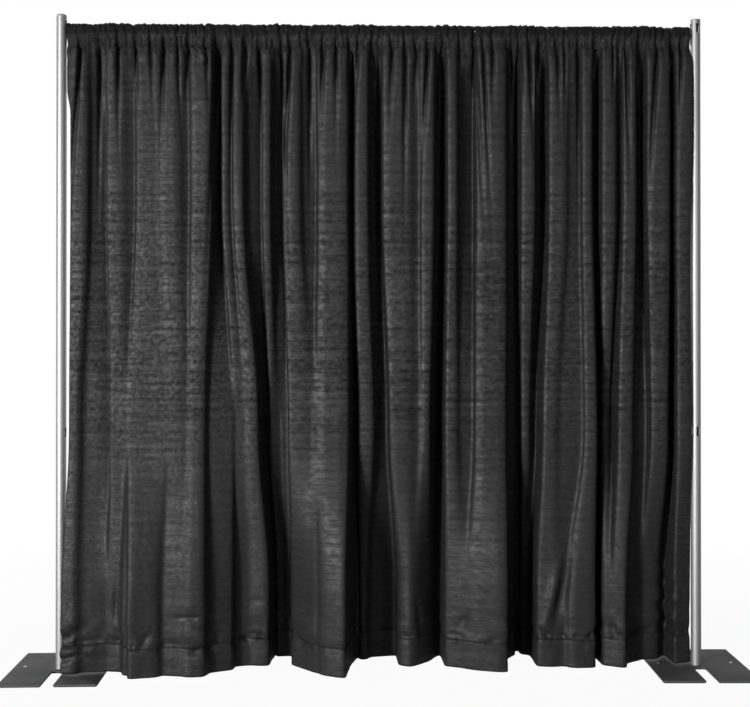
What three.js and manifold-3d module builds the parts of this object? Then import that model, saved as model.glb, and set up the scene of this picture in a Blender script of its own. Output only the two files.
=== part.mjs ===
// Pipe and drape backdrop: two slotted uprights on steel base plates, a telescoping
// crossbar hung in their slots, and three gathered drape panels on the bar.
// Millimetres, +X right as seen from the front, +Y to the back, +Z up.
// The origin lies on the floor, midway between the uprights.
import * as THREE from 'three';
import { mergeVertices } from 'three/addons/utils/BufferGeometryUtils.js';
import Module from 'manifold-3d';

const wasm = await Module();
wasm.setup();

// Whole stand
const uprightSpacing = 2390;        // centre to centre, as set by the telescoping crossbar
const seatGap = 0.3;                // between pieces that touch
const cutOverrun = 5;               // how far a cutter runs past the face it cuts

// Floor mats and base plates
const matThickness = 3;
const matInset = 3;                 // mat edge inside the plate edge
const matWeb = 1.2;                 // mat left over each rivet tail
const plateWidth = 355.6;           // along X, 14 in
const plateDepth = 406.4;           // along Y, 16 in
const plateThickness = 6.35;
const plateCornerRadius = 6;
const plateEdgeBevel = 0.8;
const plateToe = THREE.MathUtils.degToRad(1);   // how far the front edges turn inwards
const plateSlotWidth = 44.45;
const plateSlotLength = 165;
const plateSlotRadius = 8;

// Plate rivets
const rivetOffset = 138;            // from the pin, to each side
const rivetSetback = 18;            // behind the pin
const rivetShank = 6;
const rivetHead = 13;
const rivetHeadHeight = 3.2;
const rivetTail = 12;
const rivetTailHeight = 1.2;
const rivetTailRoom = 1;            // between the tail and its recess, all round

// Base pins and their bolts
const pinHeight = 152.4;
const pinWall = 3;
const pinFloor = 12;
const pinChamfer = 4;
const pinPlay = 0.75;               // between pin and upright, all round
const boltShank = 12;
const boltHead = 24;
const boltSocket = 8;               // across the flats
const boltSocketDepth = 3.5;
const boltAccess = 32;              // hole in the mat under the bolt

// Uprights
const tubeDiameter = 38.1;
const tubeWall = 1.65;
const uprightLength = 2438.4;       // 8 ft
const slotWidth = 12.7;
const slotHeight = 35;
const slotMargin = 15;              // from a level's height down to its slots
const slotCornerRadius = 1.5;
const midLevelDrop = 1524;          // from the top level down to the 3 ft level
const uprightTwist = THREE.MathUtils.degToRad(11);  // inner slots turned to the front

// Upright caps
const capSkirtLength = 10;
const capSkirtWall = 2;
const capLip = 1.5;
const domeHeight = 9;
const flatCrown = 0.3;              // rise of the flat cap's face above its lip

// Crossbar
const barDrop = 50;                 // bar axis below the upright's top
const barEndGap = 4;                // between a bar tube and its upright
const innerDiameter = 31.75;
const halfLength = 1710;            // of each bar tube
const bushLip = 3;
const bushSkirt = 30;
const plugRing = 14;
const plugStem = 20;
const plugStemWall = 2.5;

// Hooks
const hookThickness = 3;
const hookTongue = 60;              // length inside the bar tube
const hookNeck = 18;                // height of the blade through the slot
const hookLip = 12;                 // drop of the lip behind the tube wall
const hookLipWidth = 6.5;
const hookWallRoom = 1.2;           // between tube wall and lip
const hookNose = 4;
const hookRivet = 5;
const hookRivetHead = 9;
const hookRivetHeadHeight = 1.6;
const hookRivetInset = 15;          // from each end of the tongue

// Drape
const clothThickness = 2;
const hemClearance = 16;            // hem above the floor
const pocketRoom = 1.6;             // between bar and pocket, all round
const pocketDepth = 78;             // from the pocket's top down to its stitch line
const leftEdgeGap = 12;             // drape edge to left upright, near the top
const rightEdgeGap = 3;
const panelGap = 5;                 // between neighbouring panels
const pocketWrap = THREE.MathUtils.degToRad(105);  // from the bar's top, to each side
const pocketFold = 3;               // fold depth round the bar
const headingFold = 11;             // fold depth at the stitch line
const foldReach = 200;              // the length that the folds' depth shares are of
const headingRun = 100;             // height over which the folds deepen under the stitch line
const crownLimit = 9;               // most that a fold's front swells by
const wallReach = 9;                // most that a valley's wall leans in at its foot

// Resolution
const tubeSegments = 40;
const roundSegments = 24;
const arcSteps = 4;
const wrapSteps = 5;                // over the bar, from front to back

// Derived heights and radii
const tubeRadius = tubeDiameter / 2;
const tubeBore = tubeRadius - tubeWall;
const plateBottom = matThickness;
const plateTop = plateBottom + plateThickness;
const uprightFoot = plateTop + seatGap;
const uprightTop = uprightFoot + uprightLength;
const barHeight = uprightTop - barDrop;
const outerRadius = tubeRadius;
const outerBore = tubeBore;
const innerRadius = innerDiameter / 2;
const innerBore = innerRadius - tubeWall;
const barReach = uprightSpacing / 2 - tubeRadius - barEndGap;
const slotFloor = uprightTop - slotMargin - slotHeight;
const drapeLeft = -uprightSpacing / 2 + tubeRadius + leftEdgeGap;
const drapeRight = uprightSpacing / 2 - tubeRadius - rightEdgeGap;
const drapeWidth = drapeRight - drapeLeft;

const finishes = {
  plate: { color: 0x2e2f31, roughness: 0.62, metalness: 0.25 },
  mat: { color: 0x1b1b1c, roughness: 0.9, metalness: 0 },
  steel: { color: 0x9a9c9e, roughness: 0.38, metalness: 0.85 },
  zinc: { color: 0xb4b6b8, roughness: 0.34, metalness: 0.8 },
  aluminium: { color: 0xc6c8ca, roughness: 0.36, metalness: 0.7 },
  cap: { color: 0xa9abad, roughness: 0.5, metalness: 0 },
  nylon: { color: 0x2a2a2b, roughness: 0.55, metalness: 0 },
  cloth: { color: 0x151516, roughness: 0.95, metalness: 0 },
};

// Helpers

function addPiece(group, name, geometry, finish) {
  const material = new THREE.MeshStandardMaterial(finishes[finish]);
  const mesh = new THREE.Mesh(geometry, material);
  mesh.name = name;
  group.add(mesh);
  return mesh;
}

function toSolid(geometry) {
  const bare = geometry.clone();
  bare.deleteAttribute('normal');
  bare.deleteAttribute('uv');
  const merged = mergeVertices(bare);
  return new wasm.Manifold(new wasm.Mesh({
    numProp: 3,
    vertProperties: new Float32Array(merged.attributes.position.array),
    triVerts: new Uint32Array(merged.index.array),
  }));
}

function toGeometry(solid) {
  const mesh = solid.getMesh();
  const geometry = new THREE.BufferGeometry();
  geometry.setAttribute('position', new THREE.BufferAttribute(mesh.vertProperties, mesh.numProp));
  geometry.setIndex(new THREE.BufferAttribute(mesh.triVerts, 1));
  geometry.computeVertexNormals();
  return geometry;
}

function cut(geometry, cutters) {
  const solid = cutters.reduce((left, cutter) => left.subtract(toSolid(cutter)), toSolid(geometry));
  return toGeometry(solid);
}

// Turns [radius, height] pairs, listed from the bottom up on the outside, about Z.
function revolve(profile, segments = roundSegments) {
  const points = profile.map(([radius, height]) => new THREE.Vector2(radius, height));
  return new THREE.LatheGeometry(points, segments).rotateX(Math.PI / 2);
}

// A plain cylinder standing on z = bottom.
function rod(radius, bottom, top, segments = roundSegments) {
  return new THREE.CylinderGeometry(radius, radius, top - bottom, segments)
    .rotateX(Math.PI / 2)
    .translate(0, 0, (top + bottom) / 2);
}

// A tube standing on z = bottom, open at both ends.
function pipe(radius, bore, bottom, top, segments = tubeSegments) {
  return revolve([
    [bore, bottom],
    [radius, bottom],
    [radius, top],
    [bore, top],
    [bore, bottom],
  ], segments);
}

// Lays a Z-standing geometry along +X.
function layAlongX(geometry) {
  return geometry.rotateY(Math.PI / 2);
}

function roundedRectangle(width, height, radius) {
  const shape = new THREE.Shape();
  const x = width / 2;
  const y = height / 2;
  shape.moveTo(-x + radius, -y);
  shape.lineTo(x - radius, -y);
  shape.absarc(x - radius, -y + radius, radius, -Math.PI / 2, 0);
  shape.lineTo(x, y - radius);
  shape.absarc(x - radius, y - radius, radius, 0, Math.PI / 2);
  shape.lineTo(-x + radius, y);
  shape.absarc(-x + radius, y - radius, radius, Math.PI / 2, Math.PI);
  shape.lineTo(-x, -y + radius);
  shape.absarc(-x + radius, -y + radius, radius, Math.PI, 3 * Math.PI / 2);
  return shape;
}

// Base

// The outline that plate and mat share, with its slot open to the front edge.
function baseOutline(inset) {
  const shape = new THREE.Shape();
  const x = plateWidth / 2 - inset;
  const y = plateDepth / 2 - inset;
  const slot = plateSlotWidth / 2 + inset;
  const slotEnd = -plateDepth / 2 + plateSlotLength + inset;
  const corner = plateCornerRadius;
  const inner = plateSlotRadius;
  shape.moveTo(slot, -y);
  shape.lineTo(x - corner, -y);
  shape.absarc(x - corner, -y + corner, corner, -Math.PI / 2, 0);
  shape.lineTo(x, y - corner);
  shape.absarc(x - corner, y - corner, corner, 0, Math.PI / 2);
  shape.lineTo(-x + corner, y);
  shape.absarc(-x + corner, y - corner, corner, Math.PI / 2, Math.PI);
  shape.lineTo(-x, -y + corner);
  shape.absarc(-x + corner, -y + corner, corner, Math.PI, 3 * Math.PI / 2);
  shape.lineTo(-slot, -y);
  shape.lineTo(-slot, slotEnd - inner);
  shape.absarc(-slot + inner, slotEnd - inner, inner, Math.PI, Math.PI / 2, true);
  shape.lineTo(slot - inner, slotEnd);
  shape.absarc(slot - inner, slotEnd - inner, inner, Math.PI / 2, 0, true);
  return shape;
}

function rivetPlaces() {
  return [-1, 1].map((side) => [side * rivetOffset, rivetSetback]);
}

function basePlate() {
  const body = new THREE.ExtrudeGeometry(baseOutline(plateEdgeBevel), {
    depth: plateThickness - 2 * plateEdgeBevel,
    bevelEnabled: true,
    bevelSize: plateEdgeBevel,
    bevelThickness: plateEdgeBevel,
    bevelSegments: 1,
    curveSegments: arcSteps,
  }).translate(0, 0, plateBottom + plateEdgeBevel);
  const headRadius = boltHead / 2 + seatGap;
  const shankRadius = boltShank / 2 + seatGap;
  const coneTop = plateBottom + headRadius - shankRadius;
  const countersink = revolve([
    [0, plateBottom - cutOverrun],
    [headRadius + cutOverrun, plateBottom - cutOverrun],
    [shankRadius, coneTop],
    [shankRadius, plateTop + cutOverrun],
    [0, plateTop + cutOverrun],
  ]);
  const holes = rivetPlaces().map(([x, y]) =>
    rod(rivetShank / 2 + seatGap, plateBottom - cutOverrun, plateTop + cutOverrun, roundSegments / 2)
      .translate(x, y, 0));
  return cut(body, [countersink, ...holes]);
}

function floorMat() {
  const body = new THREE.ExtrudeGeometry(baseOutline(matInset), {
    depth: matThickness - seatGap,
    bevelEnabled: false,
    curveSegments: arcSteps,
  });
  const access = rod(boltAccess / 2, -cutOverrun, matThickness + cutOverrun);
  const steps = rivetPlaces().map(([x, y]) =>
    revolve([
      [0, -cutOverrun],
      [rivetTail / 2 + rivetTailRoom, -cutOverrun],
      [rivetTail / 2 + rivetTailRoom, matThickness - matWeb],
      [rivetShank / 2 + seatGap, matThickness - matWeb],
      [rivetShank / 2 + seatGap, matThickness + cutOverrun],
      [0, matThickness + cutOverrun],
    ], roundSegments / 2).translate(x, y, 0));
  return cut(body, [access, ...steps]);
}

// Low domed head on the plate, shank through plate and mat, clinched tail in the mat.
function plateRivet() {
  const tailTop = matThickness - matWeb - seatGap;
  const headBottom = plateTop + seatGap;
  const head = [];
  for (let step = 0; step <= arcSteps; step += 1) {
    const turn = (step / arcSteps) * Math.PI / 2;
    const radius = step === arcSteps ? 0 : Math.cos(turn) * rivetHead / 2;
    head.push([radius, headBottom + Math.sin(turn) * rivetHeadHeight]);
  }
  return revolve([
    [0, tailTop - rivetTailHeight],
    [rivetTail / 2, tailTop - rivetTailHeight],
    [rivetTail / 2, tailTop],
    [rivetShank / 2, tailTop],
    [rivetShank / 2, headBottom],
    ...head,
  ], roundSegments / 2);
}

// Hollow spigot with a chamfered mouth and a tapped floor.
function basePin() {
  const radius = tubeBore - pinPlay;
  const bottom = plateTop + seatGap;
  const top = bottom + pinHeight;
  const tapped = boltShank / 2 + seatGap;
  return revolve([
    [tapped, bottom],
    [radius, bottom],
    [radius, top - pinChamfer],
    [radius - pinWall / 2, top],
    [radius - pinWall, top],
    [radius - pinWall, bottom + pinFloor],
    [tapped, bottom + pinFloor],
    [tapped, bottom],
  ]);
}

// Countersunk bolt that pulls the pin down on the plate, with a hexagon socket.
function pinBolt() {
  const head = boltHead / 2;
  const shank = boltShank / 2;
  const top = plateTop + seatGap + pinFloor;
  const body = revolve([
    [0, plateBottom],
    [head, plateBottom],
    [shank, plateBottom + head - shank],
    [shank, top],
    [0, top],
  ]);
  const across = boltSocket / Math.sqrt(3);
  const socket = rod(across, plateBottom - cutOverrun, plateBottom + boltSocketDepth, 6);
  return cut(body, [socket]);
}

function addBase(group, side, name) {
  const base = new THREE.Group();
  base.position.x = side * uprightSpacing / 2;
  base.rotation.z = -side * plateToe;
  addPiece(base, `${name}_base_plate`, basePlate(), 'plate');
  addPiece(base, `${name}_floor_mat`, floorMat(), 'mat');
  addPiece(base, `${name}_base_pin`, basePin(), 'steel');
  addPiece(base, `${name}_pin_bolt`, pinBolt(), 'zinc');
  rivetPlaces().forEach(([x, y], index) => {
    const rivet = addPiece(base, `${name}_plate_rivet_${index + 1}`, plateRivet(), 'zinc');
    rivet.position.set(x, y, 0);
  });
  group.add(base);
}

// Uprights

// Cutter for one slot, pointing along +X from inside the tube, at a level's height.
function slotCutter(level, turn) {
  const shape = roundedRectangle(slotWidth, slotHeight, slotCornerRadius);
  const geometry = new THREE.ExtrudeGeometry(shape, {
    depth: tubeRadius + cutOverrun,
    bevelEnabled: false,
    curveSegments: arcSteps / 2,
  });
  geometry.rotateY(Math.PI / 2);
  geometry.rotateX(Math.PI / 2);
  geometry.rotateZ(turn);
  return geometry.translate(0, 0, level - slotMargin - slotHeight / 2);
}

// The first slot faces +X; the others share the turn evenly.
function uprightTube(slotsPerLevel) {
  const tube = pipe(tubeRadius, tubeBore, uprightFoot, uprightTop);
  const cutters = [];
  for (const level of [uprightTop, uprightTop - midLevelDrop]) {
    for (let index = 0; index < slotsPerLevel; index += 1) {
      cutters.push(slotCutter(level, index * 2 * Math.PI / slotsPerLevel));
    }
  }
  return cut(tube, cutters);
}

// Plastic plug with a skirt in the tube and a lip on its rim; crown is the dome's height.
function uprightCap(crown) {
  const skirt = tubeBore - seatGap;
  const lipBottom = uprightTop + seatGap;
  const lipTop = lipBottom + capLip;
  const dome = [];
  for (let step = 1; step <= arcSteps; step += 1) {
    const turn = (step / arcSteps) * Math.PI / 2;
    const radius = step === arcSteps ? 0 : Math.cos(turn) * tubeRadius;
    dome.push([radius, lipTop + Math.sin(turn) * crown]);
  }
  return revolve([
    [0, lipBottom],
    [skirt - capSkirtWall, lipBottom],
    [skirt - capSkirtWall, uprightTop - capSkirtLength],
    [skirt, uprightTop - capSkirtLength],
    [skirt, lipBottom],
    [tubeRadius, lipBottom],
    [tubeRadius, lipTop],
    ...dome,
  ]);
}

function addUpright(group, side, name, slotsPerLevel, crown) {
  const upright = new THREE.Group();
  upright.position.x = side * uprightSpacing / 2;
  const inwards = side < 0 ? 0 : Math.PI;
  upright.rotation.z = inwards + side * uprightTwist;
  addPiece(upright, `${name}_upright_tube`, uprightTube(slotsPerLevel), 'aluminium');
  addPiece(upright, `${name}_upright_cap`, uprightCap(crown), 'cap');
  group.add(upright);
}

// Crossbar

// Both bar tubes are drilled across for their hook rivets, near the end at x = reach.
function rivetHolesAcross(radius, end, inwards) {
  return [hookRivetInset, hookTongue - hookRivetInset].map((inset) =>
    rod(hookRivet / 2 + seatGap, -radius - cutOverrun, radius + cutOverrun, roundSegments / 2)
      .rotateX(Math.PI / 2)
      .translate(end + inwards * inset, 0, 0));
}

function barTube(radius, bore, side) {
  const end = side * barReach;
  const inwards = -side;
  const other = end + inwards * halfLength;
  const tube = layAlongX(pipe(radius, bore, Math.min(end, other), Math.max(end, other)));
  return cut(tube, rivetHolesAcross(radius, end, inwards)).translate(0, 0, barHeight);
}

// Collar on the outer tube's mouth with a skirt in its bore, which the inner tube slides in.
function mouthBush() {
  const mouth = barReach - halfLength;
  const slide = innerRadius + seatGap;
  const skirt = outerBore - seatGap;
  const lipEnd = mouth - seatGap;
  return layAlongX(revolve([
    [slide, lipEnd - bushLip],
    [outerRadius, lipEnd - bushLip],
    [outerRadius, lipEnd],
    [skirt, lipEnd],
    [skirt, mouth + bushSkirt],
    [slide, mouth + bushSkirt],
    [slide, lipEnd - bushLip],
  ], tubeSegments)).translate(0, 0, barHeight);
}

// Guide on the inner tube's tail, which runs in the outer tube's bore.
function tailPlug() {
  const tail = -barReach + halfLength;
  const stem = innerBore - seatGap;
  const ringStart = tail + seatGap;
  return layAlongX(revolve([
    [stem - plugStemWall, tail - plugStem],
    [stem, tail - plugStem],
    [stem, ringStart],
    [outerBore - seatGap, ringStart],
    [outerBore - seatGap, ringStart + plugRing],
    [stem - plugStemWall, ringStart + plugRing],
    [stem - plugStemWall, tail - plugStem],
  ], tubeSegments)).translate(0, 0, barHeight);
}

// Outline of a hook: tongue in the bar tube, neck through the slot, lip behind the tube wall.
// X runs out from the tube's end and Y up from the bar's axis.
function hookOutline(bore) {
  const tongue = Math.sqrt(bore ** 2 - (hookThickness / 2) ** 2) - seatGap;
  const seat = slotFloor + seatGap - barHeight;
  const neckTop = seat + hookNeck;
  const lipStart = barEndGap + tubeWall + hookWallRoom;
  const lipEnd = lipStart + hookLipWidth;
  const lipBottom = seat - hookLip;
  const shape = new THREE.Shape();
  shape.moveTo(-hookTongue, -tongue);
  shape.lineTo(0, -tongue);
  shape.lineTo(0, seat);
  shape.lineTo(lipStart, seat);
  shape.lineTo(lipStart, lipBottom);
  shape.lineTo(lipEnd - hookNose / 2, lipBottom);
  shape.absarc(lipEnd - hookNose / 2, lipBottom + hookNose / 2, hookNose / 2, -Math.PI / 2, 0);
  shape.lineTo(lipEnd, neckTop - hookNose);
  shape.absarc(lipEnd - hookNose, neckTop - hookNose, hookNose, 0, Math.PI / 2);
  shape.lineTo(0, neckTop);
  shape.lineTo(0, tongue);
  shape.lineTo(-hookTongue, tongue);
  return shape;
}

// Flat steel hook, which stands upright along the bar.
function hookBlade(bore, side) {
  const blade = new THREE.ExtrudeGeometry(hookOutline(bore), {
    depth: hookThickness,
    bevelEnabled: false,
    curveSegments: arcSteps,
  }).translate(0, 0, -hookThickness / 2);
  blade.rotateX(Math.PI / 2);
  if (side < 0) {
    blade.rotateZ(Math.PI);
  }
  const end = side * barReach;
  blade.translate(end, 0, 0);
  return cut(blade, rivetHolesAcross(hookThickness, end, -side)).translate(0, 0, barHeight);
}

// Rivet through tube, tongue and tube, with a low head at each side.
function hookCrossRivet(radius) {
  const outside = radius + seatGap;
  const shank = hookRivet / 2;
  const head = hookRivetHead / 2;
  return revolve([
    [0, -outside - hookRivetHeadHeight],
    [head - hookRivetHeadHeight, -outside - hookRivetHeadHeight],
    [head, -outside],
    [shank, -outside],
    [shank, outside],
    [head, outside],
    [head - hookRivetHeadHeight, outside + hookRivetHeadHeight],
    [0, outside + hookRivetHeadHeight],
  ], roundSegments / 2).rotateX(Math.PI / 2);
}

function addCrossbar(group) {
  addPiece(group, 'crossbar_inner_tube', barTube(innerRadius, innerBore, -1), 'aluminium');
  addPiece(group, 'crossbar_outer_tube', barTube(outerRadius, outerBore, 1), 'aluminium');
  addPiece(group, 'crossbar_mouth_bush', mouthBush(), 'nylon');
  addPiece(group, 'crossbar_tail_plug', tailPlug(), 'nylon');
  const ends = [
    { name: 'left', side: -1, radius: innerRadius, bore: innerBore },
    { name: 'right', side: 1, radius: outerRadius, bore: outerBore },
  ];
  for (const { name, side, radius, bore } of ends) {
    addPiece(group, `${name}_hook_blade`, hookBlade(bore, side), 'steel');
    [hookRivetInset, hookTongue - hookRivetInset].forEach((inset, index) => {
      const rivet = addPiece(group, `${name}_hook_rivet_${index + 1}`, hookCrossRivet(radius), 'zinc');
      rivet.position.set(side * (barReach - inset), 0, barHeight);
    });
  }
}

// Drape

// The folds from left to right: left and right edge shares of the drape's width, then depth
// shares of foldReach, behind the bar's axis. Edges and valleys have shares for the upper,
// middle and lower levels; fronts have them for the upper and middle level and for the left
// and right edge at the lower one. Each valley lies on its fold's right.
const foldShares = [
  [[0.003, 0.002, -0.003], [0.03, 0.018, 0.021], [-0.11, -0.125, -0.44, -0.46], [0.06, -0.015, -0.32]],
  [[0.06, 0.07, 0.067], [0.089, 0.095, 0.089], [-0.125, -0.29, -0.33, -0.37], [-0.06, -0.29, -0.6]],
  [[0.108, 0.099, 0.106], [0.141, 0.157, 0.152], [-0.14, -0.3, -0.88, -0.61], [-0.15, -0.305, -0.605]],
  [[0.146, 0.161, 0.157], [0.178, 0.19, 0.189], [-0.14, -0.3, -0.6, -0.67], [-0.07, -0.3, -0.69]],
  [[0.194, 0.194, 0.194], [0.227, 0.219, 0.223], [-0.13, -0.31, -0.715, -0.69], [0.21, -0.125, -0.37]],
  [[0.243, 0.264, 0.266], [0.254, 0.279, 0.286], [-0.1, -0.05, -0.07, -0.015], [-0.04, -0.06, -0.015]],
  [[0.261, 0.283, 0.291], [0.277, 0.303, 0.32], [-0.1, -0.06, -0.01, -0.04], [0.15, 0.375, 0.565]],
  [[0.308, 0.316, 0.327], [0.322, 0.325, 0.334], [-0.12, 0.34, 0.56, 0.57], [0.17, 0.39, 0.58]],
  [[0.341, 0.351, 0.355], [0.368, 0.389, 0.39], [-0.13, -0.21, 0.01, -0.45], [0.04, -0.23, -0.51]],
  [[0.397, 0.395, 0.401], [0.446, 0.447, 0.443], [-0.135, -0.225, -0.59, -0.825], [0.23, 0.275, 0.2]],
  [[0.457, 0.461, 0.464], [0.478, 0.487, 0.477], [-0.11, 0.11, 0.32, 0.32], [0.25, 0.36, 0.53]],
  [[0.501, 0.512, 0.527], [0.547, 0.547, 0.546], [-0.13, -0.19, -0.04, -0.165], [-0.06, -0.14, -0.13]],
  [[0.563, 0.563, 0.553], [0.584, 0.577, 0.581], [-0.13, -0.17, -0.11, 0.24], [0.27, 0.36, 0.52]],
  [[0.605, 0.601, 0.6], [0.621, 0.62, 0.628], [-0.125, -0.2, -0.13, -0.26], [0.17, -0.09, -0.31]],
  [[0.652, 0.649, 0.635], [0.7, 0.699, 0.698], [-0.13, -0.22, -0.33, -0.53], [0.27, 0.375, 0.59]],
  [[0.724, 0.729, 0.733], [0.747, 0.742, 0.74], [-0.12, 0.225, 0.61, 0.61], [0.26, 0.39, 0.56]],
  [[0.769, 0.758, 0.748], [0.797, 0.779, 0.778], [-0.13, -0.21, -0.17, -0.22], [-0.02, -0.15, -0.19]],
  [[0.823, 0.825, 0.797], [0.839, 0.845, 0.841], [-0.12, -0.21, -0.25, -0.28], [0.25, 0.33, 0.28]],
  [[0.855, 0.86, 0.854], [0.877, 0.873, 0.863], [-0.13, 0.21, -0.14, -0.18], [0.07, 0.29, -0.2]],
  [[0.889, 0.879, 0.868], [0.91, 0.903, 0.89], [-0.125, -0.19, -0.21, -0.31], [0.23, 0.04, 0.08]],
  [[0.928, 0.932, 0.925], [0.965, 0.96, 0.955], [-0.13, -0.19, 0.23, 0.29], [0.2, 0.23, 0.4]],
  [[0.975, 0.976, 0.972], [0.998, 0.999, 1], [-0.12, -0.12, 0.18, 0.17], [0, 0, 0]],
].map(([left, right, front, valley]) => ({ left, right, front, valley }));
const seamFolds = [7, 14];          // the folds after which a panel ends
const crownShare = 0.07;            // swell of a fold's front, of its width
const wideShare = 0.024;            // least upper width of a fold whose front swells
const wallShare = 0.24;             // lean of a valley's wall, of the valley's width

// Rows of the drape's front above the hem, of the stitch line's height. Blend says which fold
// shares a row has: 2 the lower, 1 the middle and 0 the upper ones.
const stitchLine = barHeight + tubeRadius + pocketRoom + clothThickness - pocketDepth;
const frontRows = [
  { height: hemClearance, blend: 2 },
  ...[[0.128, 2], [0.254, 1.5], [0.38, 1], [0.57, 0.5], [0.76, 0], [0.91, 0], [0.965, 0], [1, 0]]
    .map(([heightShare, blend]) => ({ height: stitchLine * heightShare, blend })),
];

function mixShares(shares, blend) {
  const low = Math.min(Math.floor(blend), shares.length - 2);
  return THREE.MathUtils.lerp(shares[low], shares[low + 1], blend - low);
}

// A corner of the plan curve: where it lies, and its side of the heading's small wave.
function knot(share, depthShare, wave) {
  return { x: drapeLeft + drapeWidth * share, depth: foldReach * depthShare, wave };
}

// Corners of a fold's front, with a swell in the middle of a wide one.
function frontKnots(fold, blend) {
  const left = knot(mixShares(fold.left, blend), mixShares(fold.front, blend), -1 / 2);
  const far = [...fold.front.slice(0, 2), fold.front.at(-1)];
  const right = knot(mixShares(fold.right, blend), mixShares(far, blend), -1 / 2);
  if (fold.right[0] - fold.left[0] < wideShare) {
    return [left, right];
  }
  const crown = Math.min(crownShare * (right.x - left.x), crownLimit);
  const middle = { ...left, x: (left.x + right.x) / 2, depth: (left.depth + right.depth) / 2 - crown };
  return [left, middle, right];
}

// The two corners of the valley after a fold.
function valleyKnots(index, blend) {
  const from = mixShares(foldShares[index].right, blend);
  const to = mixShares(foldShares[index + 1].left, blend);
  const wall = Math.min(wallShare * (to - from), wallReach / drapeWidth);
  const depth = mixShares(foldShares[index].valley, blend);
  return [knot(from + wall, depth, 1 / 2), knot(to - wall, depth, 1 / 2)];
}

// The valley after a fold, cut at the seam: the half on the panel's side.
function seamKnots(index, blend, side) {
  const [low, high] = valleyKnots(index, blend);
  const edge = { ...low, x: (low.x + high.x + side * panelGap) / 2 };
  return side < 0 ? [low, edge] : [edge, high];
}

// Corners of a panel's plan curve at a blend of the fold levels.
function panelKnots(panel, blend) {
  const first = panel > 0 ? seamFolds[panel - 1] + 1 : 0;
  const last = seamFolds[panel] ?? foldShares.length - 1;
  const knots = panel > 0 ? seamKnots(first - 1, blend, 1) : [];
  for (let index = first; index <= last; index += 1) {
    knots.push(...frontKnots(foldShares[index], blend));
    if (index < last) {
      knots.push(...valleyKnots(index, blend));
    }
  }
  return last < foldShares.length - 1 ? [...knots, ...seamKnots(last, blend, -1)] : knots;
}

// Rows of the panel from the hem, up the front, over the bar and down to the stitch line.
function panelRows(panel) {
  const rows = frontRows.map(({ height, blend }) => {
    const kept = Math.exp((height - stitchLine) / headingRun);
    return panelKnots(panel, blend).map(({ x, depth, wave }) =>
      new THREE.Vector3(x, depth * (1 - kept) + headingFold * wave * kept, height));
  });
  const heading = rows.at(-1);
  const waves = panelKnots(panel, 0);
  const reach = tubeRadius + pocketRoom + clothThickness / 2 + pocketFold / 2;
  for (let step = 0; step <= wrapSteps; step += 1) {
    const angle = pocketWrap * (2 * step / wrapSteps - 1);
    rows.push(waves.map(({ x, wave }) => {
      const radius = reach - pocketFold * wave;
      return new THREE.Vector3(x, radius * Math.sin(angle), barHeight + radius * Math.cos(angle));
    }));
  }
  const behind = 2 * clothThickness;
  rows.push(heading.map((point) => point.clone().add(new THREE.Vector3(0, behind, behind))));
  return rows;
}

// Direction of a path of points at one of them, halfway between those of its two sides.
function pathDirection(before, point, after) {
  const incoming = point.clone().sub(before).normalize();
  const outgoing = after.clone().sub(point).normalize();
  return incoming.add(outgoing);
}

// Unit normal of a grid of points at one of them.
function gridNormal(rows, row, column) {
  const near = (index, count) => THREE.MathUtils.clamp(index, 0, count - 1);
  const at = (r, c) => rows[near(r, rows.length)][near(c, rows[0].length)];
  const along = pathDirection(at(row, column - 1), at(row, column), at(row, column + 1));
  const up = pathDirection(at(row - 1, column), at(row, column), at(row + 1, column));
  return along.cross(up).normalize();
}

// The grid's points moved half a thickness to the back, then to the front.
function skinPositions(rows, thickness) {
  const positions = [];
  for (const side of [-1, 1]) {
    rows.forEach((points, row) => points.forEach((point, column) => {
      const moved = point.clone()
        .addScaledVector(gridNormal(rows, row, column), side * thickness / 2);
      positions.push(moved.x, moved.y, moved.z);
    }));
  }
  return positions;
}

// Triangles of the two skins and of the rim between them.
function skinTriangles(rows) {
  const columns = rows[0].length;
  const skin = rows.length * columns;
  const indices = [];
  const quad = (a, b, c, d) => indices.push(a, b, c, a, c, d);
  const at = (row, column, side) => side * skin + row * columns + column;
  for (let row = 0; row < rows.length - 1; row += 1) {
    for (let column = 0; column < columns - 1; column += 1) {
      quad(at(row, column, 1), at(row, column + 1, 1), at(row + 1, column + 1, 1), at(row + 1, column, 1));
      quad(at(row, column, 0), at(row + 1, column, 0), at(row + 1, column + 1, 0), at(row, column + 1, 0));
    }
    const end = columns - 1;
    quad(at(row, 0, 0), at(row, 0, 1), at(row + 1, 0, 1), at(row + 1, 0, 0));
    quad(at(row, end, 1), at(row, end, 0), at(row + 1, end, 0), at(row + 1, end, 1));
  }
  const top = rows.length - 1;
  for (let column = 0; column < columns - 1; column += 1) {
    quad(at(0, column, 0), at(0, column + 1, 0), at(0, column + 1, 1), at(0, column, 1));
    quad(at(top, column, 1), at(top, column + 1, 1), at(top, column + 1, 0), at(top, column, 0));
  }
  return indices;
}

// Gives a grid of points a thickness.
function thicken(rows, thickness) {
  const geometry = new THREE.BufferGeometry();
  const positions = skinPositions(rows, thickness);
  geometry.setAttribute('position', new THREE.Float32BufferAttribute(positions, 3));
  geometry.setIndex(skinTriangles(rows));
  geometry.computeVertexNormals();
  return geometry;
}

function addDrape(group) {
  ['left', 'middle', 'right'].forEach((name, panel) => {
    addPiece(group, `${name}_drape_panel`, thicken(panelRows(panel), clothThickness), 'cloth');
  });
}

const backdrop = new THREE.Group();
addBase(backdrop, -1, 'left');
addBase(backdrop, 1, 'right');
addUpright(backdrop, -1, 'left', 2, domeHeight);
addUpright(backdrop, 1, 'right', 4, flatCrown);
addCrossbar(backdrop);
addDrape(backdrop);

export default backdrop;
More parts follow.
